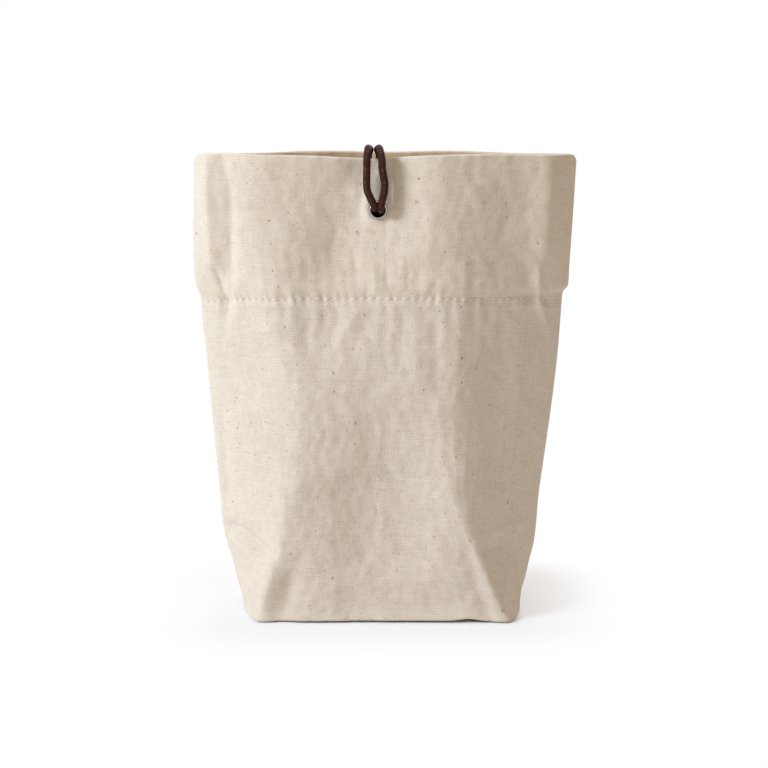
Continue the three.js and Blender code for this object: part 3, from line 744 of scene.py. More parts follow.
def canvas_shader(node, colours, sewn):
    """Unbleached cotton duck, plain woven: thick weft ribs crossed by finer warp yarns, matt,
    with golden husk flecks and thick places in the yarns. The map is in millimetres."""
    sizes = sizes_mm()
    here = node("UVMap", uv_map="UVMap")

    # The yarns wander a little, so that the grain is never ruled
    drift = node("TexNoise", Vector=here, Scale=0.16, Detail=3.0, out="Color")
    drift = node("VectorMath SUBTRACT", drift, (0.5, 0.5, 0.5))
    moved = node("VectorMath MULTIPLY_ADD", drift, (1.1, 0.9, 0), here)
    split = node("SeparateXYZ", moved).node.outputs

    # Weft ribs, and the warp yarns that go over every other one
    rib_at = node("Math DIVIDE", split["Y"], sizes["weft"])
    yarn_at = node("Math DIVIDE", split["X"], sizes["warp"])
    yarn_at = node("Math ADD", yarn_at, node("Math FLOOR", rib_at))
    rib = node("Math MULTIPLY", rib_at, math.pi)
    rib = node("Math ABSOLUTE", node("Math SINE", rib))
    yarn = node("Math MULTIPLY", yarn_at, math.pi)
    yarn = node("Math MULTIPLY_ADD", node("Math SINE", yarn), 0.40, 0.60)
    weave = node("Math MULTIPLY", rib, yarn)
    clear = node("TexNoise", Vector=here, Scale=0.11, Detail=3.0)
    clear = node("MapRange", clear, 0.35, 0.65, 0.45, 1.0, **SOFT)
    weave = node("Math SUBTRACT", weave, 0.4)
    weave = node("Math MULTIPLY_ADD", weave, clear, 0.4)

    # Thick places along both kinds of yarn, and slow changes of tone
    weft_slub = node("Mapping", Vector=moved, Scale=(0.09, 1.15, 1))
    weft_slub = node("TexNoise", Vector=weft_slub, Scale=1.0, Detail=2.0)
    warp_slub = node("Mapping", Vector=moved, Scale=(1.7, 0.11, 1))
    warp_slub = node("TexNoise", Vector=warp_slub, Scale=1.0, Detail=2.0)
    clouds = node("TexNoise", Vector=here, Scale=0.045, Detail=4.0)
    fuzz = node("TexNoise", Vector=here, Scale=1.5, Detail=3.0)
    mottle = node("TexNoise", Vector=here, Scale=0.3, Detail=4.0)
    shade = 1.0
    textures = (weft_slub, warp_slub, clouds, mottle, fuzz)
    for texture, strength in zip(textures, (0.17, 0.15, 0.12, 0.12, 0.24)):
        part = node("Math MULTIPLY_ADD", texture, strength, -strength / 2)
        shade = node("Math ADD", part, shade)
    colour = node("Mix", weave, A_Color=colours.canvas_gap, B_Color=colours.canvas, **COLOUR)
    colour = node("VectorMath SCALE", colour, Scale=shade)

    # Warm patches where more husk is spun in
    stain = node("TexNoise", Vector=here, Scale=0.34, Detail=6.0)
    stain = node("Math MULTIPLY", node("MapRange", stain, 0.46, 0.78, **SOFT), 0.27)
    colour = node("Mix", stain, A_Color=colour, B_Color=HUSK_STAIN, **COLOUR)

    # Husk flecks: few large ones and more small ones, no two as dark as each other
    bent = node("VectorMath MULTIPLY_ADD", drift, (2.5, 2.5, 0), here)
    for cell, size, kept, strength in FLECKS:
        turned = node("Mapping", Vector=bent, Scale=(1.2 / cell, 0.85 / cell, 1), Rotation=(0, 0, cell))
        spots = node("TexVoronoi", Vector=turned, Scale=1.0, voronoi_dimensions="2D").node.outputs
        chance = node("SeparateXYZ", spots["Color"]).node.outputs
        edge = node("Math ADD", node("Math MULTIPLY", chance["Y"], size), 0.015)
        inside = node("Math DIVIDE", spots["Distance"], edge)
        spot = node("MapRange", inside, 0.3, 1.0, 1.0, 0.0, **SOFT)
        pick = node("MapRange", chance["X"], kept, 1.0, 0.0, strength, **SOFT)
        spot = node("Math MULTIPLY", spot, pick)
        colour = node("Mix", spot, A_Color=colour, B_Color=colours.fleck, **COLOUR)

    height = weave
    for texture, strength in ((weft_slub, 1.3), (warp_slub, 0.9), (fuzz, 0.6)):
        height = node("Math MULTIPLY_ADD", texture, strength, height)
    under = {}
    if sewn:
        colour, under["Normal"] = sewn_rows(node, here, colour)
    dents = node("TexNoise", Vector=here, Scale=0.20, Detail=3.0)
    dents = node("Bump", Height=dents, Strength=0.6, Distance=0.0006, **under)
    bump = node("Bump", Height=height, Normal=dents, Strength=0.4, Distance=0.00012)
    return node("BsdfPrincipled", Base_Color=colour, Normal=bump, Roughness=0.92,
                Specular_IOR_Level=0.18, Sheen_Weight=0.10, Sheen_Roughness=0.6)


def seam_places():
    """Where the two side seams lie across the cloth's map."""
    turns = cloth_turns()
    front = np.interp(SIDE_SEAM_TURN, turns, girth(front_wall(), turns))
    back = np.interp(2 - SIDE_SEAM_TURN, turns, girth(back_wall(), turns))
    return float(front), float(back) + BACK_MAP_STITCHES * sizes_mm()["stitch"]


def to_nearer(node, value, first, second):
    """How far a value is from the nearer of two others."""
    gaps = [node("Math SUBTRACT", value, place) for place in (first, second)]
    gaps = [node("Math ABSOLUTE", gap) for gap in gaps]
    return node("Math MINIMUM", *gaps)


def to_hole(node, along, aside, stitch):
    """How far it is to the nearest needle hole of a row, and how much of that is along it."""
    step = node("Math PINGPONG", node("Math DIVIDE", along, stitch), 0.5)
    step = node("Math MULTIPLY", step, stitch)
    return node("VectorMath LENGTH", node("CombineXYZ", step, aside), out="Value"), step


def sewn_rows(node, here, colour):
    """Needle holes and the puckers that the thread draws in, along the hem on both faces and
    down the side seams. Gives the cloth's colour and a normal."""
    sizes = sizes_mm()
    split = node("SeparateXYZ", here).node.outputs
    across, along = split["X"], split["Y"]
    outer, inner = row_maps(sizes)
    near = to_nearer(node, along, outer, inner)
    away, from_hole = to_hole(node, across, near, sizes["stitch"])
    hole = node("MapRange", away, 0.12, 0.42, 1.0, 0.0, **SOFT)
    uneven = node("Mapping", Vector=here, Scale=(0.16, 0.05, 1))
    uneven = node("TexNoise", Vector=uneven, Scale=1.0, Detail=1.0)
    uneven = node("MapRange", uneven, 0.35, 0.65, 0.25, 1.0, **SOFT)
    reach = node("MapRange", near, 0.5, 4.2, 1.0, 0.0, **SOFT)
    reach = node("Math MULTIPLY", reach, uneven)
    pucker = node("MapRange", from_hole, 0.0, 1.5, -1.0, 0.0, **SOFT)
    pucker = node("Math MULTIPLY", pucker, reach)
    deep = node("Math MULTIPLY_ADD", hole, -0.45, pucker)

    # Side seams, from above the foot to below the hem: a shallow line with smaller holes
    aside = to_nearer(node, across, *seam_places())
    below = node("Math LESS_THAN", along, outer - 6)
    below = node("Math MULTIPLY", below, node("Math GREATER_THAN", along, 5))
    line = node("MapRange", aside, 0.1, 1.5, 1.0, 0.0, **SOFT)
    line = node("Math MULTIPLY", line, below)
    away, _ = to_hole(node, along, aside, SEAM_STITCH)
    dot = node("MapRange", away, 0.15, 0.6, 1.0, 0.0, **SOFT)
    dot = node("Math MULTIPLY", dot, below)
    deep = node("Math MULTIPLY_ADD", line, -0.35, deep)
    deep = node("Math MULTIPLY_ADD", dot, -0.3, deep)
    bump = node("Bump", Height=deep, Strength=0.8, Distance=0.00028)
    # Painted shade in the needle holes, fainter higher up in the side seams' holes
    fading = node("MapRange", along, 80, 105, 0.22, 0.06, **SOFT)
    dot = node("Math MULTIPLY", dot, fading)
    dark = node("Math MULTIPLY_ADD", hole, 0.3, dot)
    colour = node("Mix", dark, A_Color=colour, B_Color=NEEDLE_HOLE_SHADE, **COLOUR)

    # The doubled cloth of the hem lets less light through, so that it looks a little warmer
    doubled = node("Math GREATER_THAN", along, outer)
    doubled = node("Math MULTIPLY", doubled, 0.12)
    colour = node("Mix", doubled, A_Color=colour, B_Color=DOUBLED_CLOTH, **COLOUR)

    # A painted highlight runs along the folded rim, and the cloth's inner face beyond the rim is tinted tan
    top, _ = rim_place(sizes)
    from_rim = node("Math SUBTRACT", along, top - 0.3)
    from_rim = node("Math ABSOLUTE", from_rim)
    painted_light = node("TexNoise", Vector=here, Scale=1.1, Detail=2.0)
    painted_light = node("Math MULTIPLY", node("MapRange", from_rim, 0.3, 1.1, 1.0, 0.0, **SOFT),
                node("MapRange", painted_light, 0.35, 0.6, 0.15, 0.48, **SOFT))
    colour = node("Mix", painted_light, A_Color=colour, B_Color=RIM_HIGHLIGHT, **COLOUR)
    reverse = node("Math GREATER_THAN", along, top + 1.2)
    reverse = node("Math MULTIPLY", reverse, 0.62)
    return node("Mix", reverse, A_Color=colour, B_Color=REVERSE_SIDE, **COLOUR), bump


def thread_shader(node, colours):
    """Spun cotton sewing thread: pale, matt, with the slant of its twist."""
    where = node("TexCoord", out="Object")
    twists = 1 / THREAD_TWIST / MM
    wave = node("Mapping", Vector=where, Rotation=(0, math.radians(38), 0), Scale=(twists, twists, twists))
    wave = node("Math MULTIPLY", node("SeparateXYZ", wave), math.pi)
    wave = node("Math ABSOLUTE", node("Math SINE", wave))
    raised = node("TexNoise", Vector=where, Scale=900.0, Detail=2.0)
    raised = node("Math MULTIPLY", wave, raised)
    # Painted shade in the grooves of the twist, unevenly
    tone = node("Mix", raised, A_Color=THREAD_GROOVE_SHADE, B_Color=colours.thread, **COLOUR)
    bump = node("Bump", Height=wave, Strength=0.5, Distance=0.00008)
    return node("BsdfPrincipled", Base_Color=tone, Normal=bump, Roughness=0.8,
                Specular_IOR_Level=0.3, Sheen_Weight=0.1)


def nickel_shader(node, colours):
    """Nickel-plated brass, pressed: a bright mirror that handling has left a little uneven."""
    wear = node("TexNoise", Vector=node("TexCoord", out="Object"), Scale=700.0, Detail=4.0)
    rough = node("MapRange", wear, 0.3, 0.7, 0.14, 0.27)
    tone = node("Mix", wear, A_Color=WORN_NICKEL, B_Color=colours.nickel, **COLOUR)
    bump = node("Bump", Height=wear, Strength=0.15, Distance=0.00004)
    return node("BsdfPrincipled", Base_Color=tone, Roughness=rough, Normal=bump,
                Metallic=1.0)


def cord_shader(node, colours):
    """Elastic cord, braided over a rubber core: two sets of yarns cross in small diamonds, with painted
    shade in the gaps between them, and a low sheen. The map goes once round and is in millimetres along."""
    here = node("UVMap", uv_map="UVMap")
    split = node("SeparateXYZ", here).node.outputs
    around = node("Math MULTIPLY", split["X"], BRAID_YARNS * math.tau)
    pattern = 1.0
    for way in (1, -1):
        angle = node("Math MULTIPLY_ADD", split["Y"], way * math.tau / BRAID_STEP, around)
        pattern = node("Math MULTIPLY", node("Math SINE", angle), pattern)
    raised = node("Math MULTIPLY_ADD", pattern, 0.5, 0.5)
    fibre = node("TexNoise", Vector=node("Mapping", Vector=here, Scale=(9.4, 0.6, 1)), Scale=1.6, Detail=3.0)
    # Painted highlight: lighter patches here and there on the braid
    highlight_patches = node("TexNoise", Vector=here, Scale=0.6, Detail=2.0)
    highlight_patches = node("MapRange", highlight_patches, 0.45, 0.75, 0.0, 0.5, **SOFT)
    # Painted shade in the gaps between the yarns of the braid
    tone = node("Mix", raised, A_Color=colours.cord_gap, B_Color=colours.cord, **COLOUR)
    tone = node("Mix", highlight_patches, A_Color=tone, B_Color=CORD_HIGHLIGHT_PATCH, **COLOUR)

    # Four ribs of crossing yarns run along the cord, with painted glints on the crossings and painted shade
    # between
    rib = node("Math MULTIPLY", split["X"], BRAID_RIBS)
    rib = node("Math PINGPONG", rib, 0.5)
    cross = node("Math MULTIPLY", split["Y"], math.tau / RIB_STEP)
    cross = node("Math SINE", cross)
    painted_light = node("TexNoise", Vector=here, Scale=0.33, Detail=2.0)
    painted_light = node("Math MULTIPLY", node("MapRange", rib, 0.03, 0.13, 1.0, 0.0, **SOFT),
                node("MapRange", painted_light, 0.42, 0.66, 0.0, 0.75, **SOFT))
    for side, tint in ((1, YARN_GLINT), (-1, YARN_HOLE_SHADE)):
        part = node("MapRange", cross, 0.2 * side, 0.9 * side, **SOFT)
        part = node("Math MULTIPLY", part, painted_light)
        tone = node("Mix", part, A_Color=tone, B_Color=tint, **COLOUR)
    height = node("Math MULTIPLY_ADD", fibre, 0.6, raised)
    bump = node("Bump", Height=height, Strength=0.8, Distance=0.0002)
    return node("BsdfPrincipled", Base_Color=tone, Normal=bump, Roughness=0.55,
                Specular_IOR_Level=0.16)


def straight_rays(node):
    """1 for rays of the camera, or from a mirror or through glass, and 0 for the others."""
    rays = node("LightPath").node.outputs
    seen = node("Math ADD", rays["Is Camera Ray"], rays["Is Glossy Ray"])
    return node("Math ADD", seen, rays["Is Transmission Ray"], use_clamp=True)


def paper_shader(node, colours):
    """Matt studio paper, which shows white to the camera away from the pouch and keeps its
    shadow."""
    beside = node("VectorMath ABSOLUTE", node("TexCoord", out="Object"))
    beside = node("VectorMath SUBTRACT", beside, FOOTPRINT)
    beside = node("VectorMath MAXIMUM", beside, (0, 0, 0))
    far = node("VectorMath LENGTH", beside, out="Value")
    near_part = node("MapRange", far, 0.0, 0.005, 0.0, 0.48, **SOFT)
    far_part = node("MapRange", far, 0.004, 0.05, 0.0, 0.52, **SOFT)
    share = node("Math MULTIPLY", straight_rays(node), node("Math ADD", near_part, far_part))
    paper, white = node("BsdfDiffuse", colours.floor), node("Emission", "FFFFFF", 1.0)
    return node("MixShader", share, paper, white)


SEWN_CANVAS = ("canvas", "cotton duck, plain woven and sewn", canvas_shader, True)
PLAIN_CANVAS = ("canvas", "cotton duck, plain woven", canvas_shader, False)
SPUN_THREAD = ("sewing_thread", "spun cotton thread", thread_shader)
NICKEL_PLATE = ("nickel_plate", "nickel-plated brass, pressed", nickel_shader)
BRAIDED_CORD = ("elastic_cord", "elastic cord, braided", cord_shader)


# Route of the cord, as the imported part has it

CORD_WALL_Y = -19.8
NECK_FACE = 1.35
ARCH_Y = -16.8
ARCH_Z = 198.0
ARCH_RADIUS = 5.8
LOOP_DROP = 7.5
LOOP_RADIUS = 5.0
STRAND_TOP_Z = ARCH_Z - 0.3

# Where each strand lies across: behind the eyelet, where it bows out, at the rim, at the crest
# and where the two are joined behind it. enter_z is how high it goes through the eyelet

STRANDS = {
    "left": {"inner": -4.6, "enter_z": 178.7, "bow": -7.9, "front": -7.8, "crest": -7.3, "joined": -6.5},
    "right": {"inner": -1.95, "enter_z": 177.9, "bow": -0.3, "front": -1.4, "crest": -2.5, "joined": -3.3},
}


def strand_route(strand):
    """From the knot, through the eyelet and up to the rim."""
    y = CORD_WALL_Y - NECK_FACE - 0.36
    bend_y, front_y = y - 2.49, ARCH_Y - ARCH_RADIUS
    inner, bow, enter = strand["inner"], strand["bow"], strand["enter_z"]

    def up(share):
        return mix(EYELET_Z, STRAND_TOP_Z, share)

    return [
        (inner, -11.6, EYELET_Z - 0.1),
        (inner, -13.5, EYELET_Z - 0.1),
        (inner, -16.5, mix(EYELET_Z, enter, 0.4)),
        (inner, -19.5, enter),
        (inner, y, enter + 0.3),
        (inner, mix(y, bend_y, 0.62), enter + 0.9),
        (mix(inner, bow, 0.08), mix(y, bend_y, 0.94), up(0.13)),
        (mix(inner, bow, 0.46), bend_y, up(0.26)),
        (mix(inner, bow, 0.88), mix(bend_y, front_y, 0.3), up(0.42)),
        (bow, mix(bend_y, front_y, 0.7), up(0.585)),
        (mix(bow, strand["front"], 0.7), front_y, up(0.81)),
        (strand["front"], front_y, up(0.92)),
        (strand["front"], front_y, up(1)),
    ]


def arch_point(strand, degrees):
    """A point of the arch over the rim: 180 degrees is in front of it and 0 is behind it."""
    angle = math.radians(degrees)
    over = float(smooth(0, 90, 180 - degrees))
    joined = float(np.exp(-((degrees - 60) / 21) ** 2))
    x = mix(mix(strand["front"], strand["crest"], over), strand["joined"], joined)
    return (x, ARCH_Y + ARCH_RADIUS * math.cos(angle), ARCH_Z + ARCH_RADIUS * math.sin(angle))


def loop_route():
    """From the left strand over the rim, round the hanging end, and back to the right one."""
    left, right = STRANDS["left"], STRANDS["right"]
    middle, turn_z, radius = (left["crest"] + right["crest"]) / 2, ARCH_Z - LOOP_DROP, LOOP_RADIUS
    back_y = ARCH_Y + ARCH_RADIUS
    over = [arch_point(left, d) for d in range(180, -1, -15)]
    down = (mix(left["crest"], middle - radius, 0.55), back_y, mix(ARCH_Z, turn_z, 0.5))
    turn = [(middle + radius * c, back_y, turn_z + radius * s) for c, s in arc(180, 360, 7)]
    up = (mix(right["crest"], middle + radius, 0.55), back_y, mix(ARCH_Z, turn_z, 0.5))
    back = [arch_point(right, d) for d in range(0, 181, 15)]
    start = (left["front"], ARCH_Y - ARCH_RADIUS, STRAND_TOP_Z)
    end = (right["front"], ARCH_Y - ARCH_RADIUS, STRAND_TOP_Z)
    return [start, *over, down, *turn, up, *back, end]


# The operators, one for each piece or group of like pieces, and what they place

CAMERA_LENS = 97.9
CAMERA_PLACE = (-0.0006, -0.9, 0.2727)
CAMERA_LOOKS_DOWN = 10.9

# The knot is pulled tighter than the cord that shows

KNOT_TIGHTNESS = 0.88
TAIL_FULLNESS = 1.06
SEAM_COLUMNS = 8
SIDE_SEAM_ROWS = 90
CORNER_SEAM_ROWS = 40
BASE_COLUMNS = 60
BASE_ROWS = 32
EYELET_BORE = 2.85
EYELET_FLANGE = 3.9
EYELET_WALL = 0.3

# Lamps: a name, its place, its width in metres, its watts and its tint

LAMPS = (
    ("window lamp", (-1.45, -0.66, 0.98), 0.5, 32, "DFEDFF"),
    ("fill lamp", (1.2, -1.5, 0.7), 1.2, 1.6, "FFF4E6"),
    ("top lamp", (0.1, 0.1, 1.7), 1.2, 7, "FFFAF4"),
    ("back lamp", (0.7, 1.6, 0.9), 1.2, 11, "F2F6FF"),
)
ROOM_LIGHT = 0.305
ROOM_TINT = "FFE6CD"


class POUCH_OT_add_camera(bpy.types.Operator):
    """Adds the camera a little above the pouch and straight in front of it"""

    bl_idname = "pouch.add_camera"
    bl_label = "Camera"

    def execute(self, context):
        data = bpy.data.cameras.new("camera")
        data.lens = CAMERA_LENS
        data.sensor_width = 36
        camera = bpy.data.objects.new("camera", data)
        camera.location = CAMERA_PLACE
        camera.rotation_euler = (math.radians(90 - CAMERA_LOOKS_DOWN), 0, 0)
        context.scene.collection.objects.link(camera)
        context.scene.camera = camera
        return {"FINISHED"}


class POUCH_OT_add_knot(bpy.types.Operator):
    """Adds the knot behind the eyelet and its two tails"""

    bl_idname = "pouch.add_knot"
    bl_label = "Knot"

    def execute(self, context):
        radius = sizes_mm()["cord"] / 2 * KNOT_TIGHTNESS
        knot_y, knot_z = in_mm("loop_knot")[1].y - 2.9, EYELET_Z - 0.2
        turns = np.linspace(0, math.tau, 181)
        path = np.stack([
            EYELET_X + 1.16 * (np.sin(turns) + 2 * np.sin(2 * turns)),
            knot_y + 1.35 * np.sin(3 * turns),
            knot_z + 0.95 * (np.cos(turns) - 2 * np.cos(2 * turns)),
        ], -1)
        made = finished(tube(path, radius, sides=20), "loop_knot_cord", BRAIDED_CORD)
        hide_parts("loop_knot")
        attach(made, "front_wall")
        for side, sign in (("left", -1), ("right", 1)):
            low, high = in_mm(f"knot_{side}_tail")
            top = EYELET_X + sign * 1.5
            path = curve_through([
                (top, knot_y, knot_z - 2.4),
                (top + sign * 0.3, knot_y - 0.4, high.z - 1.6),
                (top + sign * 0.9, knot_y - 0.6, high.z - 4.6),
                (top + sign * 1.6, knot_y - 0.9, high.z - 8.8),
                (top + sign * 1.9, knot_y - 1.6, low.z + 0.4),
            ])
            tail = tube(path, radius * TAIL_FULLNESS, sides=20)
            made = finished(tail, f"knot_{side}_tail_cord", BRAIDED_CORD)
            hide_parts(f"knot_{side}_tail")
            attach(made, "front_wall")
        return {"FINISHED"}


class POUCH_OT_add_cords(bpy.types.Operator):
    """Adds the elastic cord: two strands in front and the loop over the rim"""

    bl_idname = "pouch.add_cords"
    bl_label = "Elastic cord"

    def execute(self, context):
        radius = sizes_mm()["cord"] / 2
        for side, strand in STRANDS.items():
            path = curve_through(strand_route(strand))
            in_eyelet = np.clip((path[:, 1] + 21.0) / 2.0, 0, 1)
            strand_tube = tube(path, radius * (1 - 0.1 * in_eyelet))
            made = finished(strand_tube, f"{side}_strand_cord", BRAIDED_CORD)
            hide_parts(f"loop_{side}_strand")
            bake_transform(made)
        path = curve_through(loop_route())
        made = finished(tube(path, radius), "rim_loop_cord", BRAIDED_CORD)
        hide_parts("loop_left_crest", "loop_right_crest", "loop_bight")
        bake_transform(made)
        return {"FINISHED"}


class POUCH_OT_add_cloth(bpy.types.Operator):
    """Adds the cloth of the pouch with its turned-in hem, a front and a back half"""

    bl_idname = "pouch.add_cloth"
    bl_label = "Cloth and hem"

    def execute(self, context):
        made = make_cloth("front_cloth", front_wall())
        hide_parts("front_panel", "front_hem", "left_side_panel", "left_side_hem")
        made = make_cloth("back_cloth", back_wall())
        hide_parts("back_panel", "back_hem", "right_side_panel", "right_side_hem")
        return {"FINISHED"}


class POUCH_OT_add_base(bpy.types.Operator):
    """Adds the base, which lies on the turned-under edges of the walls"""

    bl_idname = "pouch.add_base"
    bl_label = "Base"

    def execute(self, context):
        cloth = sizes_mm()["cloth"]
        deep = HALF_DEPTH[0] - 1.6

        def place(column, row):
            across, back = column / BASE_COLUMNS * 2 - 1, row / BASE_ROWS * 2 - 1
            y = back * deep
            near = np.abs(y) / HALF_DEPTH[0]
            reach = np.where(across > 0, mix(58.3, 51.8, near), mix(61.6, 53.6, near))
            x = across * (reach + 1.2 * np.sin(math.pi * near))
            rim = smooth(0.6, 0.93, np.maximum(np.abs(across), np.abs(back)))
            z = mix(1.15 + 0.12 * crumple(x, y, 3), 1.95, rim)
            return np.stack([x, y, z], -1), list(zip(x.tolist(), y.tolist()))

        bm = lofted(BASE_COLUMNS + 1, BASE_ROWS + 1, place)
        bmesh.ops.solidify(bm, geom=bm.faces[:], thickness=cloth)
        made = finished(bm, "base_cloth", PLAIN_CANVAS, angle=50)
        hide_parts("base_panel")
        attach(made, "pouch")
        return {"FINISHED"}


class POUCH_OT_add_seams(bpy.types.Operator):
    """Adds the seam allowances inside: one down each side and one across each base corner"""

    bl_idname = "pouch.add_seams"
    bl_label = "Seam allowances"

    def execute(self, context):
        cloth = sizes_mm()["cloth"]
        for side, wall, sign in (("right", front_wall(), 1), ("left", back_wall(), -1)):
            low, high = in_mm(f"{side}_side_seam")

            def down_side(layer, column, row):
                out = column / SEAM_COLUMNS
                z = mix(low.z, high.z, row / SIDE_SEAM_ROWS)
                ragged = 1 + 0.03 * np.sin(row * 1.9 + layer) * (column == SEAM_COLUMNS)
                across = (8.0 - 0.6 * layer) * out * ragged
                depth = 1.5 * cloth + 0.12 + layer * (cloth + 0.06 + 0.25 * out)
                points = wall.at(wall.seam_turn + sign * across / 78, z, depth)
                return points, list(zip((across + 20 * layer).tolist(), z.tolist()))

            made = double_layer(f"{side}_side_seam_cloth", SIDE_SEAM_ROWS, down_side)
            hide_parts(f"{side}_side_seam")
            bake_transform(made)
            low, high = in_mm(f"{side}_corner_seam")

            def across_corner(layer, column, row):
                out = column / SEAM_COLUMNS
                free = out if sign < 0 else 1 - out
                x = mix(low.x, high.x, out) + 0.25 * np.sin(row * 1.7 + layer) * (free > 0.95)
                y = mix(low.y, high.y, row / CORNER_SEAM_ROWS)
                z = low.z + 0.95 + layer * (cloth + 0.05 + 0.4 * free) + 0.1 * np.sin(y / 4)
                return np.stack([x, y, z], -1), list(zip(x.tolist(), (y + 90 * layer).tolist()))

            made = double_layer(f"{side}_corner_seam_cloth", CORNER_SEAM_ROWS, across_corner)
            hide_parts(f"{side}_corner_seam")
            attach(made, "pouch")
        return {"FINISHED"}


def double_layer(name, rows, place):
    """A seam allowance: two layers of cloth, each placed by its number, the column and the row."""
    bm = bmesh.new()
    for layer in (0, 1):
        lofted(SEAM_COLUMNS + 1, rows + 1, functools.partial(place, layer), bm)
    bmesh.ops.solidify(bm, geom=bm.faces[:], thickness=sizes_mm()["cloth"] * 0.9)
    return finished(bm, name, PLAIN_CANVAS, angle=50)


class POUCH_OT_add_stitches(bpy.types.Operator):
    """Adds the stitches of the hem, outside and inside"""

    bl_idname = "pouch.add_stitches"
    bl_label = "Hem stitches"

    def execute(self, context):
        sizes = sizes_mm()
        stitch = sizes["stitch"]
        faces = (("needle", -0.1, 1, "stitching"), ("bobbin", sizes["rim"] + 0.16, -1, "bobbin_thread"))
        for wall, name, side in ((front_wall(), "front", "left"), (back_wall(), "back", "right")):
            turns = cloth_turns()
            across = girth(wall, turns)
            first = math.ceil(across[0] / stitch) * stitch
            for face, depth, outwards, node in faces:
                bm = bmesh.new()
                for number, start in enumerate(np.arange(first, across[-1] - stitch, stitch)):
                    turn = np.interp(start + stitch * np.array([0.14, 0.5, 0.86]), across, turns)
                    add_stitch(bm, wall.at(turn, HEM_LINE_Z, depth), sizes["thread"], outwards, number)
                made = finished(bm, f"{name}_hem_{face}_stitches", SPUN_THREAD)
                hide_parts(f"{name}_hem_{node}", f"{side}_side_hem_{node}")
                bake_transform(made)
        return {"FINISHED"}


def add_stitch(bm, points, thread, outwards, number):
    """One stitch: a thread that comes up at one needle hole, lies flat and goes down at the next.
    The points are its start, its middle and its end."""
    start, middle, end = points
    along = Vector(end - start)
    long = along.length
    along.normalize()
    up = Vector((0, 0, 1))
    out = along.cross(up).normalized()
    if out.y * middle[1] < 0:
        out = -out
    out = out * outwards
    up = out.cross(along).normalized()
    spin = 0.10 * math.sin(number * 2.4)
    turn = Matrix((along * math.cos(spin) + up * math.sin(spin), up, out)).transposed().to_4x4()
    place = Matrix.Translation(Vector(middle)) @ turn
    made = bmesh.ops.create_uvsphere(bm, u_segments=8, v_segments=6, radius=0.5)["verts"]
    bmesh.ops.rotate(bm, verts=made, cent=(0, 0, 0), matrix=Matrix.Rotation(math.radians(90), 3, "Y"))
    for vert in made:
        share = vert.co.x * 2
        vert.co.y *= thread
        vert.co.z *= thread * 0.75
        vert.co.x = math.copysign(abs(share) ** 0.8, share) * long * 0.5
        vert.co.z -= 0.55 * abs(share) ** 4
    bmesh.ops.transform(bm, matrix=place, verts=made)


class POUCH_OT_add_eyelet(bpy.types.Operator):
    """Adds the eyelet and, inside, the washer that it is clinched over"""

    bl_idname = "pouch.add_eyelet"
    bl_label = "Eyelet"

    def execute(self, context):
        bore, flange, wall = EYELET_BORE, EYELET_FLANGE, EYELET_BORE + EYELET_WALL
        middle, half = mix(flange, bore, 0.5), (flange - bore) / 2
        roll = [(middle + half * c, 0.32 + 0.75 * s) for c, s in arc(0, 180, 13)]
        barrel = [(bore, -0.6), (bore, -1.8), (bore, -2.9)]
        clinch = [(wall + 0.35 * (1 - c), -3.35 - 0.32 * s) for c, s in arc(0, 180, 9)]
        inside = [(wall, -2.9), (wall, 0.2), (flange - 0.15, 0.28)]
        made = spun("eyelet_metal", [*roll, *barrel, *clinch, *inside])
        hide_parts("eyelet")
        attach(made, "front_wall")
        low, high = bore + 0.6, bore + 2.2
        middle = mix(low, high, 0.5)
        washer = [(low, -2.45), (low, -2.8), (low + 0.3, -2.95), (middle, -2.92), (high - 0.2, -2.8),
                  (high, -2.6), (high - 0.1, -2.42), (middle, -2.48)]
        made = spun("eyelet_washer_metal", washer)
        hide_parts("eyelet_washer")
        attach(made, "front_wall")
        return {"FINISHED"}


def spun(name, profile, steps=64):
    """A ring with that profile of (radius, height out of the cloth) about the eyelet's axis."""
    bm = bmesh.new()
    ring = [bm.verts.new((r, 0, h)) for r, h in profile]
    edges = [bm.edges.new(pair) for pair in zip(ring, ring[1:] + ring[:1])]
    bmesh.ops.spin(bm, geom=ring + edges, cent=(0, 0, 0), axis=(0, 0, 1), angle=math.tau, steps=steps,
                   use_merge=True)
    bmesh.ops.remove_doubles(bm, verts=bm.verts, dist=WELD)
    lean = math.atan((HALF_DEPTH[0] - HALF_DEPTH[1]) / RIM_Z)
    turn = Matrix.Rotation(math.radians(90) - lean, 4, "X")
    place = Matrix.Translation((EYELET_X, CORD_WALL_Y, EYELET_Z)) @ turn
    bmesh.ops.transform(bm, matrix=place, verts=bm.verts)
    return finished(bm, name, NICKEL_PLATE, angle=55)


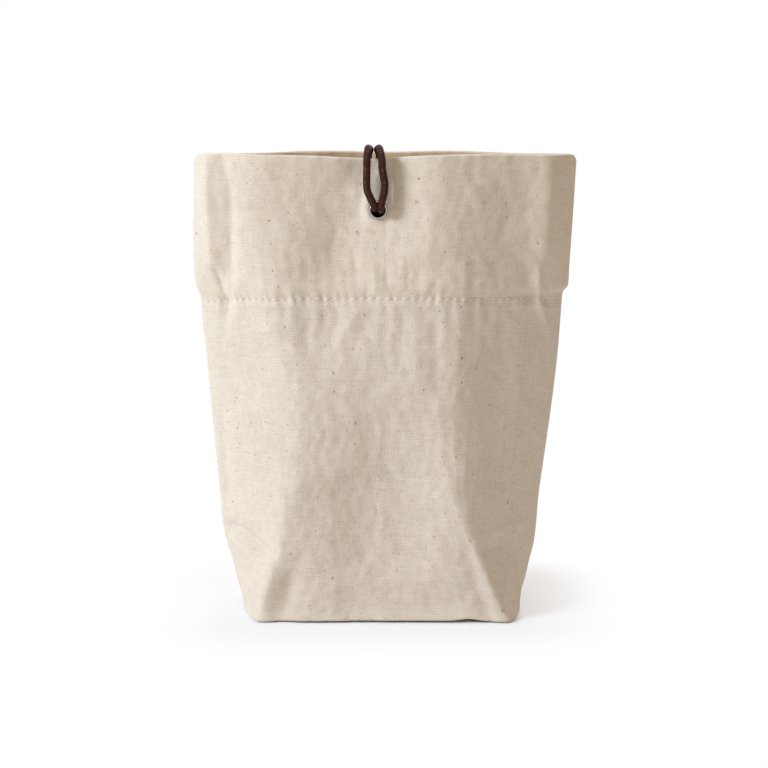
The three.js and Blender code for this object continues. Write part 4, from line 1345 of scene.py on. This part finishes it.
class POUCH_OT_add_stage(bpy.types.Operator):
    """Adds the floor, the lamps and the white surroundings"""

    bl_idname = "pouch.add_stage"
    bl_label = "Floor and lamps"

    def execute(self, context):
        scene = context.scene
        bm = bmesh.new()
        bmesh.ops.create_grid(bm, x_segments=1, y_segments=1, size=3)
        mesh = bpy.data.meshes.new("floor")
        bm.to_mesh(mesh)
        bm.free()
        floor = bpy.data.objects.new("floor", mesh)
        scene.collection.objects.link(floor)
        mesh.materials.append(material_of("studio paper, matt", paper_shader))
        for name, place, size, power, tint in LAMPS:
            data = bpy.data.lights.new(name, "AREA")
            data.size = size
            data.energy = power
            data.color = linear(tint)[:3]
            lamp = bpy.data.objects.new(name, data)
            lamp.location = place
            lamp.rotation_euler = (Vector((0, 0, 0.1)) - Vector(place)).to_track_quat("-Z", "Y").to_euler()
            scene.collection.objects.link(lamp)
        world = bpy.data.worlds.new("white studio")
        scene.world = world
        world.use_nodes = True
        world.node_tree.nodes.clear()
        node = functools.partial(add_node, world.node_tree)
        seen = straight_rays(node)
        strength = node("MapRange", seen, To_Min=ROOM_LIGHT, To_Max=1.0)
        tint = node("Mix", seen, A_Color=ROOM_TINT, B_Color="FFFFFF", **COLOUR)
        node("OutputWorld", node("Background", tint, strength))
        scene.view_settings.view_transform = "Standard"
        return {"FINISHED"}


class POUCH_PT_parts(bpy.types.Panel):
    """Lists the pieces of the pouch"""

    bl_label = "Canvas pouch"
    bl_idname = "POUCH_PT_parts"
    bl_space_type = "VIEW_3D"
    bl_region_type = "UI"
    bl_category = "Pouch"

    def draw(self, context):
        for group in (context.scene.pouch_sizes, context.scene.pouch_colours):
            column = self.layout.column()
            for name in group.__annotations__:
                column.prop(group, name)
        for operator in PIECES:
            self.layout.operator(operator.bl_idname)


PIECES = (
    POUCH_OT_add_camera,
    POUCH_OT_add_knot,
    POUCH_OT_add_cords,
    POUCH_OT_add_cloth,
    POUCH_OT_add_base,
    POUCH_OT_add_seams,
    POUCH_OT_add_stitches,
    POUCH_OT_add_eyelet,
    POUCH_OT_add_stage,
)
CLASSES = (PouchSizes, PouchColours, *PIECES, POUCH_PT_parts)


def register():
    for item in CLASSES:
        bpy.utils.register_class(item)
    bpy.types.Scene.pouch_sizes = bpy.props.PointerProperty(type=PouchSizes)
    bpy.types.Scene.pouch_colours = bpy.props.PointerProperty(type=PouchColours)


def unregister():
    del bpy.types.Scene.pouch_colours
    del bpy.types.Scene.pouch_sizes
    for item in reversed(CLASSES):
        bpy.utils.unregister_class(item)


def main():
    register()
    bpy.ops.pouch.add_camera()
    bpy.ops.pouch.add_knot()
    bpy.ops.pouch.add_cords()
    bpy.ops.pouch.add_cloth()
    bpy.ops.pouch.add_base()
    bpy.ops.pouch.add_seams()
    bpy.ops.pouch.add_stitches()
    bpy.ops.pouch.add_eyelet()
    bpy.ops.pouch.add_stage()


if __name__ == "__main__":
    main()
